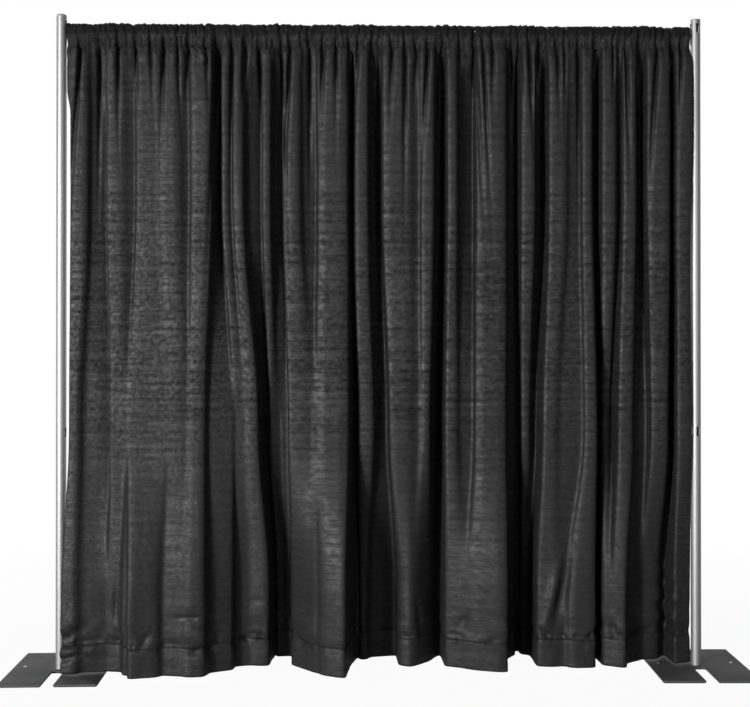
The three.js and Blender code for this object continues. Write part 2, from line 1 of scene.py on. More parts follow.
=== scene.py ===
"""Pipe and drape backdrop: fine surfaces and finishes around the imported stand.

Metres, +X right as seen from the front, +Y to the back, +Z up. The origin lies on the floor,
midway between the two uprights.
"""

import logging
import math
from collections.abc import Sequence
from dataclasses import dataclass
from enum import Enum
from functools import lru_cache, reduce

import bpy
import numpy as np
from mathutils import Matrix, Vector


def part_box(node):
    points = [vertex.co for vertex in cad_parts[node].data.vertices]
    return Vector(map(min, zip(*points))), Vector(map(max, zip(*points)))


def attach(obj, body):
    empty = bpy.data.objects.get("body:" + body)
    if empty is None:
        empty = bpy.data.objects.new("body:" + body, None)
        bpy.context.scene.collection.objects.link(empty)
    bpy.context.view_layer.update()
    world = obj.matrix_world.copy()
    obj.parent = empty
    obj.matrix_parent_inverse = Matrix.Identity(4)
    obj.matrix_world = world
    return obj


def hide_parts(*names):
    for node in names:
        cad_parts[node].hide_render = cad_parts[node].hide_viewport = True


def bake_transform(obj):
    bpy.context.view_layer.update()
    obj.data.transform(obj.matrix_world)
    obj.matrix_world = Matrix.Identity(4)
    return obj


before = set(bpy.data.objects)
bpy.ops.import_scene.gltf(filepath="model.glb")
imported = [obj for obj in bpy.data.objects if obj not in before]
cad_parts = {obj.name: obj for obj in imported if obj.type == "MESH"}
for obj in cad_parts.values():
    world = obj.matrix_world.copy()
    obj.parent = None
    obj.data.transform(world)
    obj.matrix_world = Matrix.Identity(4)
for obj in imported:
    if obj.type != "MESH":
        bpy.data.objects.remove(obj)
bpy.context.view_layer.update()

LOG = logging.getLogger("backdrop")

MM = 0.001
FULL_TURN = 2 * math.pi
QUARTER_TURN = math.pi / 2
TUBE_RADIUS = 19.05 * MM

Pair = tuple[float, float]
Triple = tuple[float, float, float]
Faces = Sequence[tuple[int, ...]]
Values = float | np.ndarray
Piece = bpy.types.Object
Socket = bpy.types.NodeSocket
Noise = tuple[float | Triple, float, float] | tuple[float | Triple, float]


class Side(Enum):
    """Which end of the stand a sub-assembly stands at."""

    LEFT = -1
    RIGHT = 1

    @property
    def word(self) -> str:
        """The side's name as the nodes use it."""
        return self.name.lower()


class CapStyle(Enum):
    """The form of the plug in an upright's top."""

    DOMED = "domed"
    FLAT = "flat"


# Mesh helpers


def mesh_object(
    name: str,
    points: np.ndarray,
    faces: Faces = (),
    smooth_angle: float | None = None,
    edges: Faces = (),
) -> Piece:
    """Makes an object whose place is in its mesh.

    Args:
        name: The object's name.
        points: Its vertices, one row each.
        faces: Its polygons, as vertex numbers that turn anticlockwise seen from outside.
        smooth_angle: Edges sharper than this stay sharp, in degrees; None leaves it faceted.
        edges: Its loose edges, as pairs of vertex numbers.

    Returns:
        The linked object.
    """
    mesh = bpy.data.meshes.new(name)
    mesh.from_pydata([tuple(p) for p in np.asarray(points, float)], edges, faces)
    mesh.update()
    made = bpy.data.objects.new(name, mesh)
    bpy.context.scene.collection.objects.link(made)
    if smooth_angle is not None:
        shade_smooth(made, smooth_angle)
    return made


def shade_smooth(piece: Piece, angle: float) -> None:
    """Shades a piece smooth, apart from edges sharper than an angle in degrees."""
    mesh = piece.data
    mesh.polygons.foreach_set("use_smooth", [True] * len(mesh.polygons))
    mesh.set_sharp_from_angle(angle=math.radians(angle))


def arc(centre: Pair, radii: Pair, start: float, end: float, steps: int) -> list[Pair]:
    """Points of an arc, or of a part of an ellipse.

    Args:
        centre: The arc's centre.
        radii: Its radius along each axis.
        start: The angle that it starts at.
        end: The angle that it ends at.
        steps: How many points it has.

    Returns:
        The points in order.
    """
    return [
        (centre[0] + radii[0] * math.cos(a), centre[1] + radii[1] * math.sin(a))
        for a in np.linspace(start, end, steps)
    ]


def rounded_rectangle(x: float, y: float, radius: float, steps: int) -> list[Pair]:
    """A rectangle with rounded corners about the origin.

    Args:
        x: Half its width.
        y: Half its depth.
        radius: The corners' radius.
        steps: How many points a corner has.

    Returns:
        The points anticlockwise, from the lower right corner.
    """
    x, y = x - radius, y - radius
    outline: list[Pair] = []
    for quarter, corner in enumerate(((x, -y), (x, y), (-x, y), (-x, -y))):
        start = (quarter - 1) * QUARTER_TURN
        outline += arc(corner, (radius, radius), start, start + QUARTER_TURN, steps)
    return outline


def prism(outline: list[Pair], low: float, high: float) -> tuple[np.ndarray, Faces]:
    """Extends an outline between two levels.

    Args:
        outline: The outline, anticlockwise.
        low: The lower level.
        high: The upper level.

    Returns:
        The points and the faces.
    """
    count = len(outline)
    points = [(x, y, z) for z in (low, high) for x, y in outline]
    ends = [tuple(reversed(range(count))), tuple(range(count, 2 * count))]
    after = [(i + 1) % count for i in range(count)]
    return np.array(points), ends + [(i, j, count + j, count + i) for i, j in enumerate(after)]


def revolve(profile: list[Pair], segments: int) -> tuple[np.ndarray, Faces]:
    """Turns a profile about the Z axis.

    Args:
        profile: (radius, height) pairs from the bottom up; a radius of zero makes a pole.
        segments: Steps round the turn.

    Returns:
        The points and the faces.
    """
    points: list[Triple] = []
    rings: list[list[int]] = []
    for radius, height in profile:
        if radius == 0:
            rings.append([len(points)] * segments)
            points.append((0.0, 0.0, height))
            continue
        rings.append(list(range(len(points), len(points) + segments)))
        for step in range(segments):
            turn = FULL_TURN * step / segments
            points.append((radius * math.cos(turn), radius * math.sin(turn), height))
    faces: list[tuple[int, ...]] = []
    for low, high in zip(rings, rings[1:]):
        for step in range(segments):
            after = (step + 1) % segments
            face = tuple(dict.fromkeys((low[step], low[after], high[after], high[step])))
            if len(face) > 2:
                faces.append(face)
    return np.array(points), faces


def apply_modifiers(piece: Piece) -> Piece:
    """Turns a piece with modifiers into a plain mesh object.

    Args:
        piece: The object with modifiers.

    Returns:
        The piece itself, with the evaluated mesh and no modifiers.
    """
    bpy.context.view_layer.update()
    depsgraph = bpy.context.evaluated_depsgraph_get()
    mesh = bpy.data.meshes.new_from_object(piece.evaluated_get(depsgraph), depsgraph=depsgraph)
    mesh.name = piece.name
    piece.modifiers.clear()
    piece.data = mesh
    return piece


def dress(piece: Piece, material: bpy.types.Material) -> None:
    """Gives a piece one material."""
    piece.data.materials.clear()
    piece.data.materials.append(material)


def node_centre(node: str) -> Vector:
    """Middle of a node's box at rest."""
    low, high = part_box(node)
    return (low + high) / 2


def stand_in(piece: Piece, nodes: Sequence[str], body: str) -> Piece:
    """Puts a piece in the place of CAD nodes.

    Args:
        piece: The piece.
        nodes: The nodes that it replaces.
        body: The body that it rides on.

    Returns:
        The piece.
    """
    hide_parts(*nodes)
    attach(piece, body)
    return piece


# Node helpers


class Graph:
    """A node tree under construction, with short calls for the nodes it needs."""

    def __init__(self, tree: bpy.types.NodeTree) -> None:
        """Takes the tree that the nodes are added to."""
        self.tree = tree

    def fill(self, target: Socket, value: object) -> None:
        """Feeds an input from another socket, or sets its value; a colour may lack its alpha.

        Args:
            target: The input.
            value: The socket or the value.
        """
        if isinstance(value, Socket):
            self.tree.links.new(value, target)
        elif target.type == "RGBA":
            target.default_value = (*value, 1.0)[:4]
        else:
            target.default_value = value

    def node(
        self, kind: str, settings: dict[str, str] | None = None, **inputs: object
    ) -> bpy.types.Node:
        """Adds a node and fills its inputs.

        Args:
            kind: The node's type name.
            settings: The node's own options, which are set first.
            **inputs: Input values or sockets by name, with _ for a space.

        Returns:
            The node.
        """
        made = self.tree.nodes.new(kind)
        for key, option in (settings or {}).items():
            setattr(made, key, option)
        for key, value in inputs.items():
            self.fill(made.inputs[key.replace("_", " ")], value)
        return made

    def maths(self, operation: str, *values: Socket | float) -> Socket:
        """Joins values by an operation.

        Args:
            operation: The operation's name.
            *values: Sockets or numbers, in the operation's order.

        Returns:
            The result's socket.
        """
        made = self.node("ShaderNodeMath", {"operation": operation})
        for target, value in zip(made.inputs, values):
            self.fill(target, value)
        return made.outputs["Value"]

    def times(self, *values: Socket | float) -> Socket:
        """Multiplies values with each other."""
        return reduce(lambda product, value: self.maths("MULTIPLY", product, value), values)

    def remap(
        self, value: Socket, low: float, high: float, to_low: float = 0, to_high: float = 1
    ) -> Socket:
        """Maps a value's range to another, held at its ends."""
        ends = {"From_Min": low, "From_Max": high, "To_Min": to_low, "To_Max": to_high}
        return self.node("ShaderNodeMapRange", Value=value, **ends).outputs["Result"]

    def white_rays(self, gloss_share: Socket) -> Socket:
        """Gives 1 for the rays that see the background as white: from the camera, gloss or glass.

        Args:
            gloss_share: How much of the white gloss sees.

        Returns:
            The factor's socket.
        """
        rays = self.node("ShaderNodeLightPath").outputs
        clear = self.maths("MAXIMUM", rays["Is Camera Ray"], rays["Is Transmission Ray"])
        return self.maths("MAXIMUM", clear, self.times(rays["Is Glossy Ray"], gloss_share))


class Shader(Graph):
    """A material under construction, around one principled surface."""

    def __init__(self, name: str, source: str = "Object") -> None:
        """Starts a node material.

        Args:
            name: The material's name.
            source: The texture coordinates that it lies on.
        """
        self.material = bpy.data.materials.new(name)
        self.material.use_nodes = True
        super().__init__(self.material.node_tree)
        self.source = source
        self.tree.nodes.clear()
        self.output = self.node("ShaderNodeOutputMaterial")
        self.surface = self.node("ShaderNodeBsdfPrincipled")
        self.fill(self.output.inputs["Surface"], self.surface.outputs["BSDF"])

    def place(self, scale: float | Triple = 1) -> Socket:
        """Gives the shader's texture coordinates, scaled.

        Args:
            scale: How many units of texture a metre holds, in all or along each axis.

        Returns:
            The vector's socket.
        """
        scales = scale if isinstance(scale, tuple) else (scale,) * 3
        source = self.node("ShaderNodeTexCoord").outputs[self.source]
        return self.node("ShaderNodeMapping", Vector=source, Scale=scales).outputs["Vector"]

    def noise(self, scale: float | Triple, detail: float = 3, roughness: float = 0.55) -> Socket:
        """Adds a noise texture and gives its factor."""
        options = {"Scale": 1.0, "Detail": detail, "Roughness": roughness}
        return self.node("ShaderNodeTexNoise", Vector=self.place(scale), **options).outputs["Fac"]

    def stripes(self, pitch: float, axis: str, distortion: float = 0.4) -> Socket:
        """Adds soft stripes and gives their factor.

        Args:
            pitch: Distance from one stripe to the next.
            axis: The axis that they follow each other along.
            distortion: How far they waver.

        Returns:
            The factor, 1 in the middle of a stripe.
        """
        made = self.node(
            "ShaderNodeTexWave",
            {"bands_direction": axis},
            Vector=self.place(),
            Scale=FULL_TURN / 20 / pitch,
            Distortion=distortion,
            Detail=2.0,
        )
        return made.outputs["Fac"]

    def blend(self, factor: Socket, first: Triple | Socket, second: Triple | Socket) -> Socket:
        """Mixes two colours by a factor.

        Args:
            factor: How much of the second colour shows.
            first: The first colour.
            second: The second colour.

        Returns:
            The mixed colour's socket.
        """
        made = self.node("ShaderNodeMix", {"data_type": "RGBA"}, Factor=factor)
        ends = [socket for socket in made.inputs if socket.type == "RGBA"]
        for target, colour in zip(ends, (first, second)):
            self.fill(target, colour)
        return next(socket for socket in made.outputs if socket.type == "RGBA")

    def bump(
        self,
        height: Socket,
        strength: float | Socket,
        distance: float,
        normal: Socket | None = None,
    ) -> Socket:
        """Adds a bump, on top of another one if given.

        Args:
            height: The height to follow.
            strength: How much of it shows.
            distance: Its full depth.
            normal: The normal of the bump below.

        Returns:
            The normal's socket.
        """
        below = {} if normal is None else {"Normal": normal}
        made = self.node(
            "ShaderNodeBump", Height=height, Strength=strength, Distance=distance, **below
        )
        return made.outputs["Normal"]

    def finish(self, **values: object) -> bpy.types.Material:
        """Fills the surface's inputs with values or sockets and gives the material."""
        for key, value in values.items():
            self.fill(self.surface.inputs[key.replace("_", " ")], value)
        return self.material


# Finishes


@dataclass(frozen=True)
class PowderCoat:
    """Dark grey baked powder on sheet steel: fine orange peel, dust and light rubs."""

    colour: Triple = (0.072, 0.073, 0.074)
    clouded: Triple = (0.104, 0.104, 0.105)
    rubbed: Triple = (0.155, 0.156, 0.158)
    roughness: Pair = (0.55, 0.70)
    shine: float = 0.16

    def build(self) -> bpy.types.Material:
        """Makes the material."""
        s = Shader("dark_powder_coat")
        peel, grain, clouds = s.noise(420, 2), s.noise(1700, 1), s.noise(9, 4)
        rubs = s.noise((26, 160, 40), 5, 0.7)
        worn = s.times(s.remap(rubs, 0.60, 0.78), s.remap(clouds, 0.42, 0.62))
        base = s.blend(s.remap(clouds, 0.3, 0.7, 0, 0.6), self.colour, self.clouded)
        speckled = s.blend(s.remap(grain, 0.56, 0.72, 0, 0.35), base, self.rubbed)
        return s.finish(
            Base_Color=s.blend(worn, speckled, self.rubbed),
            Roughness=s.remap(clouds, 0.3, 0.7, *self.roughness),
            Specular_IOR_Level=self.shine,
            Normal=s.bump(peel, 0.22, 0.0004, s.bump(grain, 0.15, 0.0002)),
        )


@dataclass(frozen=True)
class SatinAluminium:
    """Extruded aluminium tube: fine draw lines along it, faint stains and rub marks."""

    along: str
    colour: Triple = (0.44, 0.44, 0.445)
    stained: Triple = (0.34, 0.34, 0.345)
    scuffed: Triple = (0.46, 0.46, 0.47)
    roughness: Pair = (0.50, 0.62)
    metallic: float = 0.88

    def stretched(self, run: float, across: float) -> Triple:
        """Texture scales with one value along the tube and another across it."""
        return (run, across, across) if self.along == "X" else (across, across, run)

    def build(self) -> bpy.types.Material:
        """Makes the material."""
        s = Shader(f"satin_aluminium_{self.along.lower()}")
        lines = s.noise(self.stretched(1.2, 900), 2)
        stains = s.noise(self.stretched(3, 60), 5, 0.65)
        rings = s.noise(self.stretched(140, 14), 4, 0.7)
        scuffs = s.times(s.remap(rings, 0.62, 0.75), s.remap(stains, 0.45, 0.6, 0, 0.8))
        base = s.blend(s.remap(stains, 0.35, 0.75, 0, 0.6), self.colour, self.stained)
        return s.finish(
            Base_Color=s.blend(scuffs, base, self.scuffed),
            Roughness=s.remap(lines, 0.3, 0.7, *self.roughness),
            Metallic=self.metallic,
            Normal=s.bump(lines, 0.10, 0.0002),
        )


@dataclass(frozen=True)
class GrainedFinish:
    """A surface clouded with a second colour, under a fine grain.

    The clouds and the grain are noises: scale, detail and roughness. The cover is the range of the
    clouds' noise, and how much of the second colour shows at its top. The relief is the grain's
    strength and depth.
    """

    name: str
    colour: Triple
    clouded: Triple
    roughness: Pair
    clouds: Noise
    grain: Noise
    relief: Pair
    cover: Triple = (0.35, 0.70, 1)
    metallic: float = 0
    shine: float = 0.5

    def build(self) -> bpy.types.Material:
        """Makes the material."""
        s = Shader(self.name)
        clouds, (low, high, most) = s.noise(*self.clouds), self.cover
        return s.finish(
            Base_Color=s.blend(s.remap(clouds, low, high, 0, most), self.colour, self.clouded),
            Roughness=s.remap(clouds, 0.3, 0.7, *self.roughness),
            Metallic=self.metallic,
            Specular_IOR_Level=self.shine,
            Normal=s.bump(s.noise(*self.grain), *self.relief),
        )


@dataclass(frozen=True)
class CrepeCloth:
    """Black satin-backed crepe: small crinkles, cross slubs and a plain weave, on UVs in metres."""

    colour: Triple = (0.0095, 0.0095, 0.0098)
    lit: Triple = (0.0215, 0.0215, 0.0220)
    slub: Triple = (0.034, 0.034, 0.035)
    roughness: float = 0.50
    shine: float = 0.22
    tone: float = 0.63
    pit_depth: float = 0.62
    weave_pitch: float = 0.9 * MM
    row_pitch: float = 37 * MM
    # Where the texture band painted at the highlight's height rises and falls, in metres of cloth.
    crush_foot: Pair = (0.68, 1.02)
    crush_top: Pair = (1.52, 1.80)
    # Painted shade: the pocket above pocket_from is darkened by the factor pocket_shade.
    pocket_from: float = 2.29
    pocket_shade: float = 0.80
    # Height of the painted dark band along the pocket's top.
    pocket_ridge: float = 2.400
    hem_line: float = 0.0856

    def build(self) -> bpy.types.Material:
        """Makes the material."""
        s = Shader("black_crepe", "UV")
        crinkle, fine = s.noise((46, 62, 1)), s.noise((300, 230, 1))
        bands = s.noise((2.2, 46, 1), 4, 0.65)
        height = s.node("ShaderNodeSeparateXYZ", Vector=s.place()).outputs["Y"]
        # Painted: the tone's contrast and the pits are strongest at mid height, where the highlight
        # falls.
        highlight_band = s.times(
            s.remap(height, *self.crush_foot, 0.42, 1), s.remap(height, *self.crush_top, 1, 0.55)
        )
        # Painted shade on the pocket, in colour, slubs and gloss.
        edge = self.pocket_from
        pocket = s.remap(height, edge - 0.02, edge + 0.01, 1, self.pocket_shade)
        mottle = self.mottle(s, crinkle, bands, highlight_band)
        shaded = s.times(self.hem_shade(s, height), self.heading_shade(s, height))
        # Pits times the painted shade of the pocket, heading and hem; it darkens both colour and
        # gloss.
        pits_and_painted_shade = s.times(self.pitting(s, highlight_band), pocket, shaded)
        mottled = s.blend(s.times(mottle, pits_and_painted_shade), self.colour, self.lit)
        specked = s.blend(s.remap(fine, 0.55, 0.75, 0, 0.35), mottled, self.lit)
        raised = self.slubs(s)
        dull = s.maths(
            "ADD", s.remap(crinkle, 0.3, 0.7, 0.06, -0.06), s.remap(bands, 0.3, 0.7, 0.06, -0.06)
        )
        matte = s.remap(pocket, self.pocket_shade, 1, self.roughness + 0.12, self.roughness)
        glint = s.remap(mottle, 0.1, 1.1, 0.4 * self.shine, 1.6 * self.shine)
        weave = s.maths("MAXIMUM", *(s.stripes(self.weave_pitch, axis) for axis in "XY"))
        crumple = s.bump(bands, highlight_band, 0.0013, s.bump(crinkle, highlight_band, 0.0018))
        ribbed = s.bump(fine, 0.5, 0.0006, s.bump(raised, 0.7, 0.0012, crumple))
        return s.finish(
            Base_Color=s.blend(s.times(raised, pocket), specked, self.slub),
            Roughness=s.maths("ADD", dull, matte),
            Specular_IOR_Level=s.times(pits_and_painted_shade, glint),
            Normal=s.bump(weave, 0.25, 0.0003, ribbed),
        )

    def mottle(self, s: Shader, crinkle: Socket, bands: Socket, highlight_band: Socket) -> Socket:
        """The cloth's uneven tone, painted strongest at mid height, where the highlight falls.

        Args:
            s: The material under construction.
            crinkle: The noise of the crinkles.
            bands: The noise of the cross bands.
            highlight_band: How much texture shows; most at mid height, where the highlight falls.

        Returns:
            The tone, from 0 for dark to 1 for lit.
        """
        dots = s.remap(crinkle, 0.36, 0.64, -0.33, 0.33)
        uneven = s.maths("ADD", dots, s.remap(bands, 0.36, 0.64, -0.30, 0.30))
        return s.maths("ADD", s.times(uneven, highlight_band), self.tone)

    def pitting(self, s: Shader, highlight_band: Socket) -> Socket:
        """Rows of small dark pits, worn off in places, painted deepest where the highlight falls.

        Args:
            s: The material under construction.
            highlight_band: How much texture shows; most at mid height, where the highlight falls.

        Returns:
            What the cloth's tone is multiplied by.
        """
        rows = s.remap(s.stripes(self.row_pitch, "Y", 1.4), 0.30, 0.90, 0.15, 1)
        specks = s.remap(s.noise((80, 66, 1), 1), 0.46, 0.60)
        worn = s.remap(s.noise((3, 5, 1), 2), 0.35, 0.65, 0.25, 1)
        return s.maths("MULTIPLY_ADD", s.times(rows, specks, worn, highlight_band), -self.pit_depth, 1)

    def slubs(self, s: Shader) -> Socket:
        """Thick threads across the cloth, here and there."""
        thick = s.remap(s.noise((5, 260, 1), 2, 0.4), 0.58, 0.68)
        return s.times(thick, s.remap(s.noise((9, 22, 1), 1), 0.46, 0.56))

    def heading_shade(self, s: Shader, height: Socket) -> Socket:
        """Painted shade on the heading: lines in its pinched creases, a band along the pocket's
        top.

        Args:
            s: The material under construction.
            height: The height along the cloth.

        Returns:
            What the cloth's tone is multiplied by.
        """
        # Painted shade: wandering dark crease lines on the pocket, fading in just below it.
        wander = s.maths("SUBTRACT", s.noise((62, 15, 1), 2, 0.5), 0.5)
        line = s.remap(s.maths("ABSOLUTE", wander), 0.012, 0.040, 0.92, 0)
        inside = s.remap(height, self.pocket_from - 0.03, self.pocket_from)
        painted_crease_shade = s.maths("SUBTRACT", 1, s.times(line, inside))
        # Painted shade along the pocket's top, around pocket_ridge.
        ridge = s.maths("ABSOLUTE", s.maths("SUBTRACT", height, self.pocket_ridge))
        return s.times(painted_crease_shade, s.remap(ridge, 0.009, 0.021, 0.30, 1))

    def hem_shade(self, s: Shader, height: Socket) -> Socket:
        """Darkens the cloth at the hem's stitch line, with painted shade in the puckers beside it.

        Args:
            s: The material under construction.
            height: The height along the cloth.

        Returns:
            What the cloth's tone is multiplied by; just below the hem line it is a little lighter.
        """
        above = s.maths("SUBTRACT", height, self.hem_line)
        apart = s.maths("ABSOLUTE", above)
        # Painted shade in the puckers beside the hem line.
        notches = s.remap(s.noise((34, 12, 1), 1), 0.54, 0.64)
        puckered = s.times(notches, s.remap(apart, 0.006, 0.030, 0.6, 0))
        lighter_hem_band = s.remap(above, -0.004, 0.002, 1.12, 1)
        stitched = s.remap(apart, 0.001, 0.005, 0.45, 1)
        return s.times(stitched, lighter_hem_band, s.maths("SUBTRACT", 1, puckered))


class Finishes:
    """Every material of the stand, made once."""

    def __init__(self) -> None:
        """Builds the materials."""
        plated = {
            "clouds": (260, 3),
            "grain": ((60, 900, 900), 3),
            "relief": (0.12, 0.0002),
            "metallic": 1,
        }
        moulded = {"clouds": (40, 3), "grain": (1500, 1), "relief": (0.18, 0.0002)}
        self.plate = PowderCoat().build()
        self.upright = SatinAluminium("Z").build()
        self.bar = SatinAluminium("X").build()
        self.zinc = GrainedFinish(
            "zinc_plate", (0.56, 0.57, 0.58), (0.36, 0.36, 0.37), (0.36, 0.54), **plated
        ).build()
        self.steel = GrainedFinish(
            "hook_steel", (0.44, 0.44, 0.45), (0.26, 0.26, 0.27), (0.30, 0.48), **plated
        ).build()
        self.cap = GrainedFinish(
            "grey_cap_plastic", (0.40, 0.40, 0.41), (0.328, 0.328, 0.3362), (0.45, 0.58), **moulded
        ).build()
        self.nylon = GrainedFinish(
            "black_nylon", (0.020, 0.020, 0.021), (0.0164, 0.0164, 0.0172), (0.37, 0.50), **moulded
        ).build()
        self.mat = GrainedFinish(
            "mat_rubber",
            (0.018, 0.018, 0.018),
            (0.05, 0.05, 0.048),
            (0.72, 0.92),
            clouds=(22, 5, 0.7),
            grain=(900, 2),
            relief=(0.3, 0.0004),
            cover=(0.45, 0.70, 0.8),
        ).build()
        self.cloth = CrepeCloth().build()
        self.thread = GrainedFinish(
            "sewing_thread",
            (0.006, 0.006, 0.006),
            (0.012, 0.012, 0.0125),
            (0.7, 0.7),
            clouds=(2600, 1),
            grain=(2600, 1),
            relief=(0.4, 0.0002),
            cover=(0, 1, 1),
            shine=0.2,
        ).build()


# Geometry Nodes


class NodeTree(Graph):
    """A Geometry Nodes tree under construction, ending in real geometry with a material."""

    def __init__(self, name: str, **inputs: str) -> None:
        """Starts a tree with a geometry input and output.

        Args:
            name: The tree's name.
            **inputs: The kind of each further input by its name, with _ for a space.
        """
        super().__init__(bpy.data.node_groups.new(name, "GeometryNodeTree"))
        face = self.tree.interface
        for way in ("INPUT", "OUTPUT"):
            face.new_socket("Geometry", in_out=way, socket_type="NodeSocketGeometry")
        self.sockets: dict[str, str] = {}
        for key, kind in {**inputs, "Material": "Material"}.items():
            label = key.replace("_", " ")
            made = face.new_socket(label, in_out="INPUT", socket_type=f"NodeSocket{kind}")
            self.sockets[key] = made.identifier
        self.given = self.node("NodeGroupInput").outputs
        self.exit = self.node("NodeGroupOutput")

    def instances(self, points: Socket, shape: Socket, **inputs: Socket) -> Socket:
        """Sets a shape at every point."""
        made = self.node("GeometryNodeInstanceOnPoints", Points=points, Instance=shape, **inputs)
        return made.outputs["Instances"]

    def realized(self, geometry: Socket) -> Socket:
        """Turns instances into real geometry."""
        return self.node("GeometryNodeRealizeInstances", Geometry=geometry).outputs["Geometry"]

    def close(self, geometry: Socket) -> None:
        """Realizes the geometry, sets its material and joins it to the output.

        Args:
            geometry: The geometry or instances.
        """
        dressed = self.node(
            "GeometryNodeSetMaterial",
            Geometry=self.realized(geometry),
            Material=self.given["Material"],
        )
        self.fill(self.exit.inputs["Geometry"], dressed.outputs["Geometry"])

    def run(self, host: Piece, **values: object) -> Piece:
        """Runs the tree on an object and turns the result into a plain mesh.

        Args:
            host: The object whose geometry goes in.
            **values: Input values by name, with _ for a space.

        Returns:
            The same object, with the result as its mesh.
        """
        modifier = host.modifiers.new(self.tree.name, "NODES")
        modifier.node_group = self.tree
        for key, value in values.items():
            modifier[self.sockets[key]] = value
        return apply_modifiers(host)


def stitch_tree() -> NodeTree:
    """Builds the tree that sews thread along a path.

    Returns:
        A tree with the inputs Pitch, Stitch Length, Thread Radius and Material.
    """
    t = NodeTree("sew_along_path", Pitch="Float", Stitch_Length="Float", Thread_Radius="Float")
    curve = t.node("GeometryNodeMeshToCurve", Mesh=t.given["Geometry"]).outputs["Curve"]
    even = t.node(
        "GeometryNodeResampleCurve", {"mode": "LENGTH"}, Curve=curve, Length=t.given["Pitch"]
    )
    bead = t.node("GeometryNodeMeshIcoSphere", Radius=1.0, Subdivisions=1)
    tangent = t.node("GeometryNodeInputTangent").outputs["Tangent"]
    turn = t.node("FunctionNodeAlignRotationToVector", {"axis": "X"}, Vector=tangent)
    reach, radius = t.times(t.given["Stitch Length"], 0.5), t.given["Thread Radius"]
    size = t.node("ShaderNodeCombineXYZ", X=reach, Y=radius, Z=radius)
    t.close(
        t.instances(
            even.outputs["Curve"],
            bead.outputs["Mesh"],
            Rotation=turn.outputs["Rotation"],
            Scale=size.outputs["Vector"],
        )
    )
    return t


def rivet_tree() -> NodeTree:
    """Builds the tree that sets one rivet at each point.

    Returns:
        A tree with the inputs Rivet and Material.
    """
    t = NodeTree("set_rivets", Rivet="Object")
    shape = t.node("GeometryNodeObjectInfo", Object=t.given["Rivet"]).outputs["Geometry"]
    t.close(t.instances(t.given["Geometry"], shape))
    return t


def slotted_tube_tree() -> NodeTree:
    """Builds the tree for a tube with slots punched through it at each point.

    Returns:
        A tree with the inputs Radius, Bore, Length, Middle, Sides, Cutter and Material. The points
        that go in are the middles of the slots, and carry the turn of each cutter.
    """
    t = NodeTree(
        "slotted_tube",
        Radius="Float",
        Bore="Float",
        Length="Float",
        Middle="Vector",
        Sides="Int",
        Cutter="Object",
    )
    length = t.given["Length"]
    cylinders = []
    for radius, depth in ((t.given["Radius"], length), (t.given["Bore"], t.times(length, 1.1))):
        made = t.node(
            "GeometryNodeMeshCylinder", Vertices=t.given["Sides"], Radius=radius, Depth=depth
        )
        moved = t.node(
            "GeometryNodeTransform", Geometry=made.outputs["Mesh"], Translation=t.given["Middle"]
        )
        cylinders.append(moved.outputs["Geometry"])
    shape = t.node("GeometryNodeObjectInfo", Object=t.given["Cutter"]).outputs["Geometry"]
    turn = t.node("GeometryNodeInputNamedAttribute", {"data_type": "FLOAT_VECTOR"}, Name="turn")
    slots = t.instances(t.given["Geometry"], shape, Rotation=turn.outputs["Attribute"])
    punched = t.node("GeometryNodeMeshBoolean", {"operation": "DIFFERENCE", "solver": "EXACT"})
    t.fill(punched.inputs["Mesh 1"], cylinders[0])
    t.fill(punched.inputs["Mesh 2"], cylinders[1])
    t.fill(punched.inputs["Mesh 2"], t.realized(slots))
    t.close(punched.outputs["Mesh"])
    return t


# Sub-assemblies


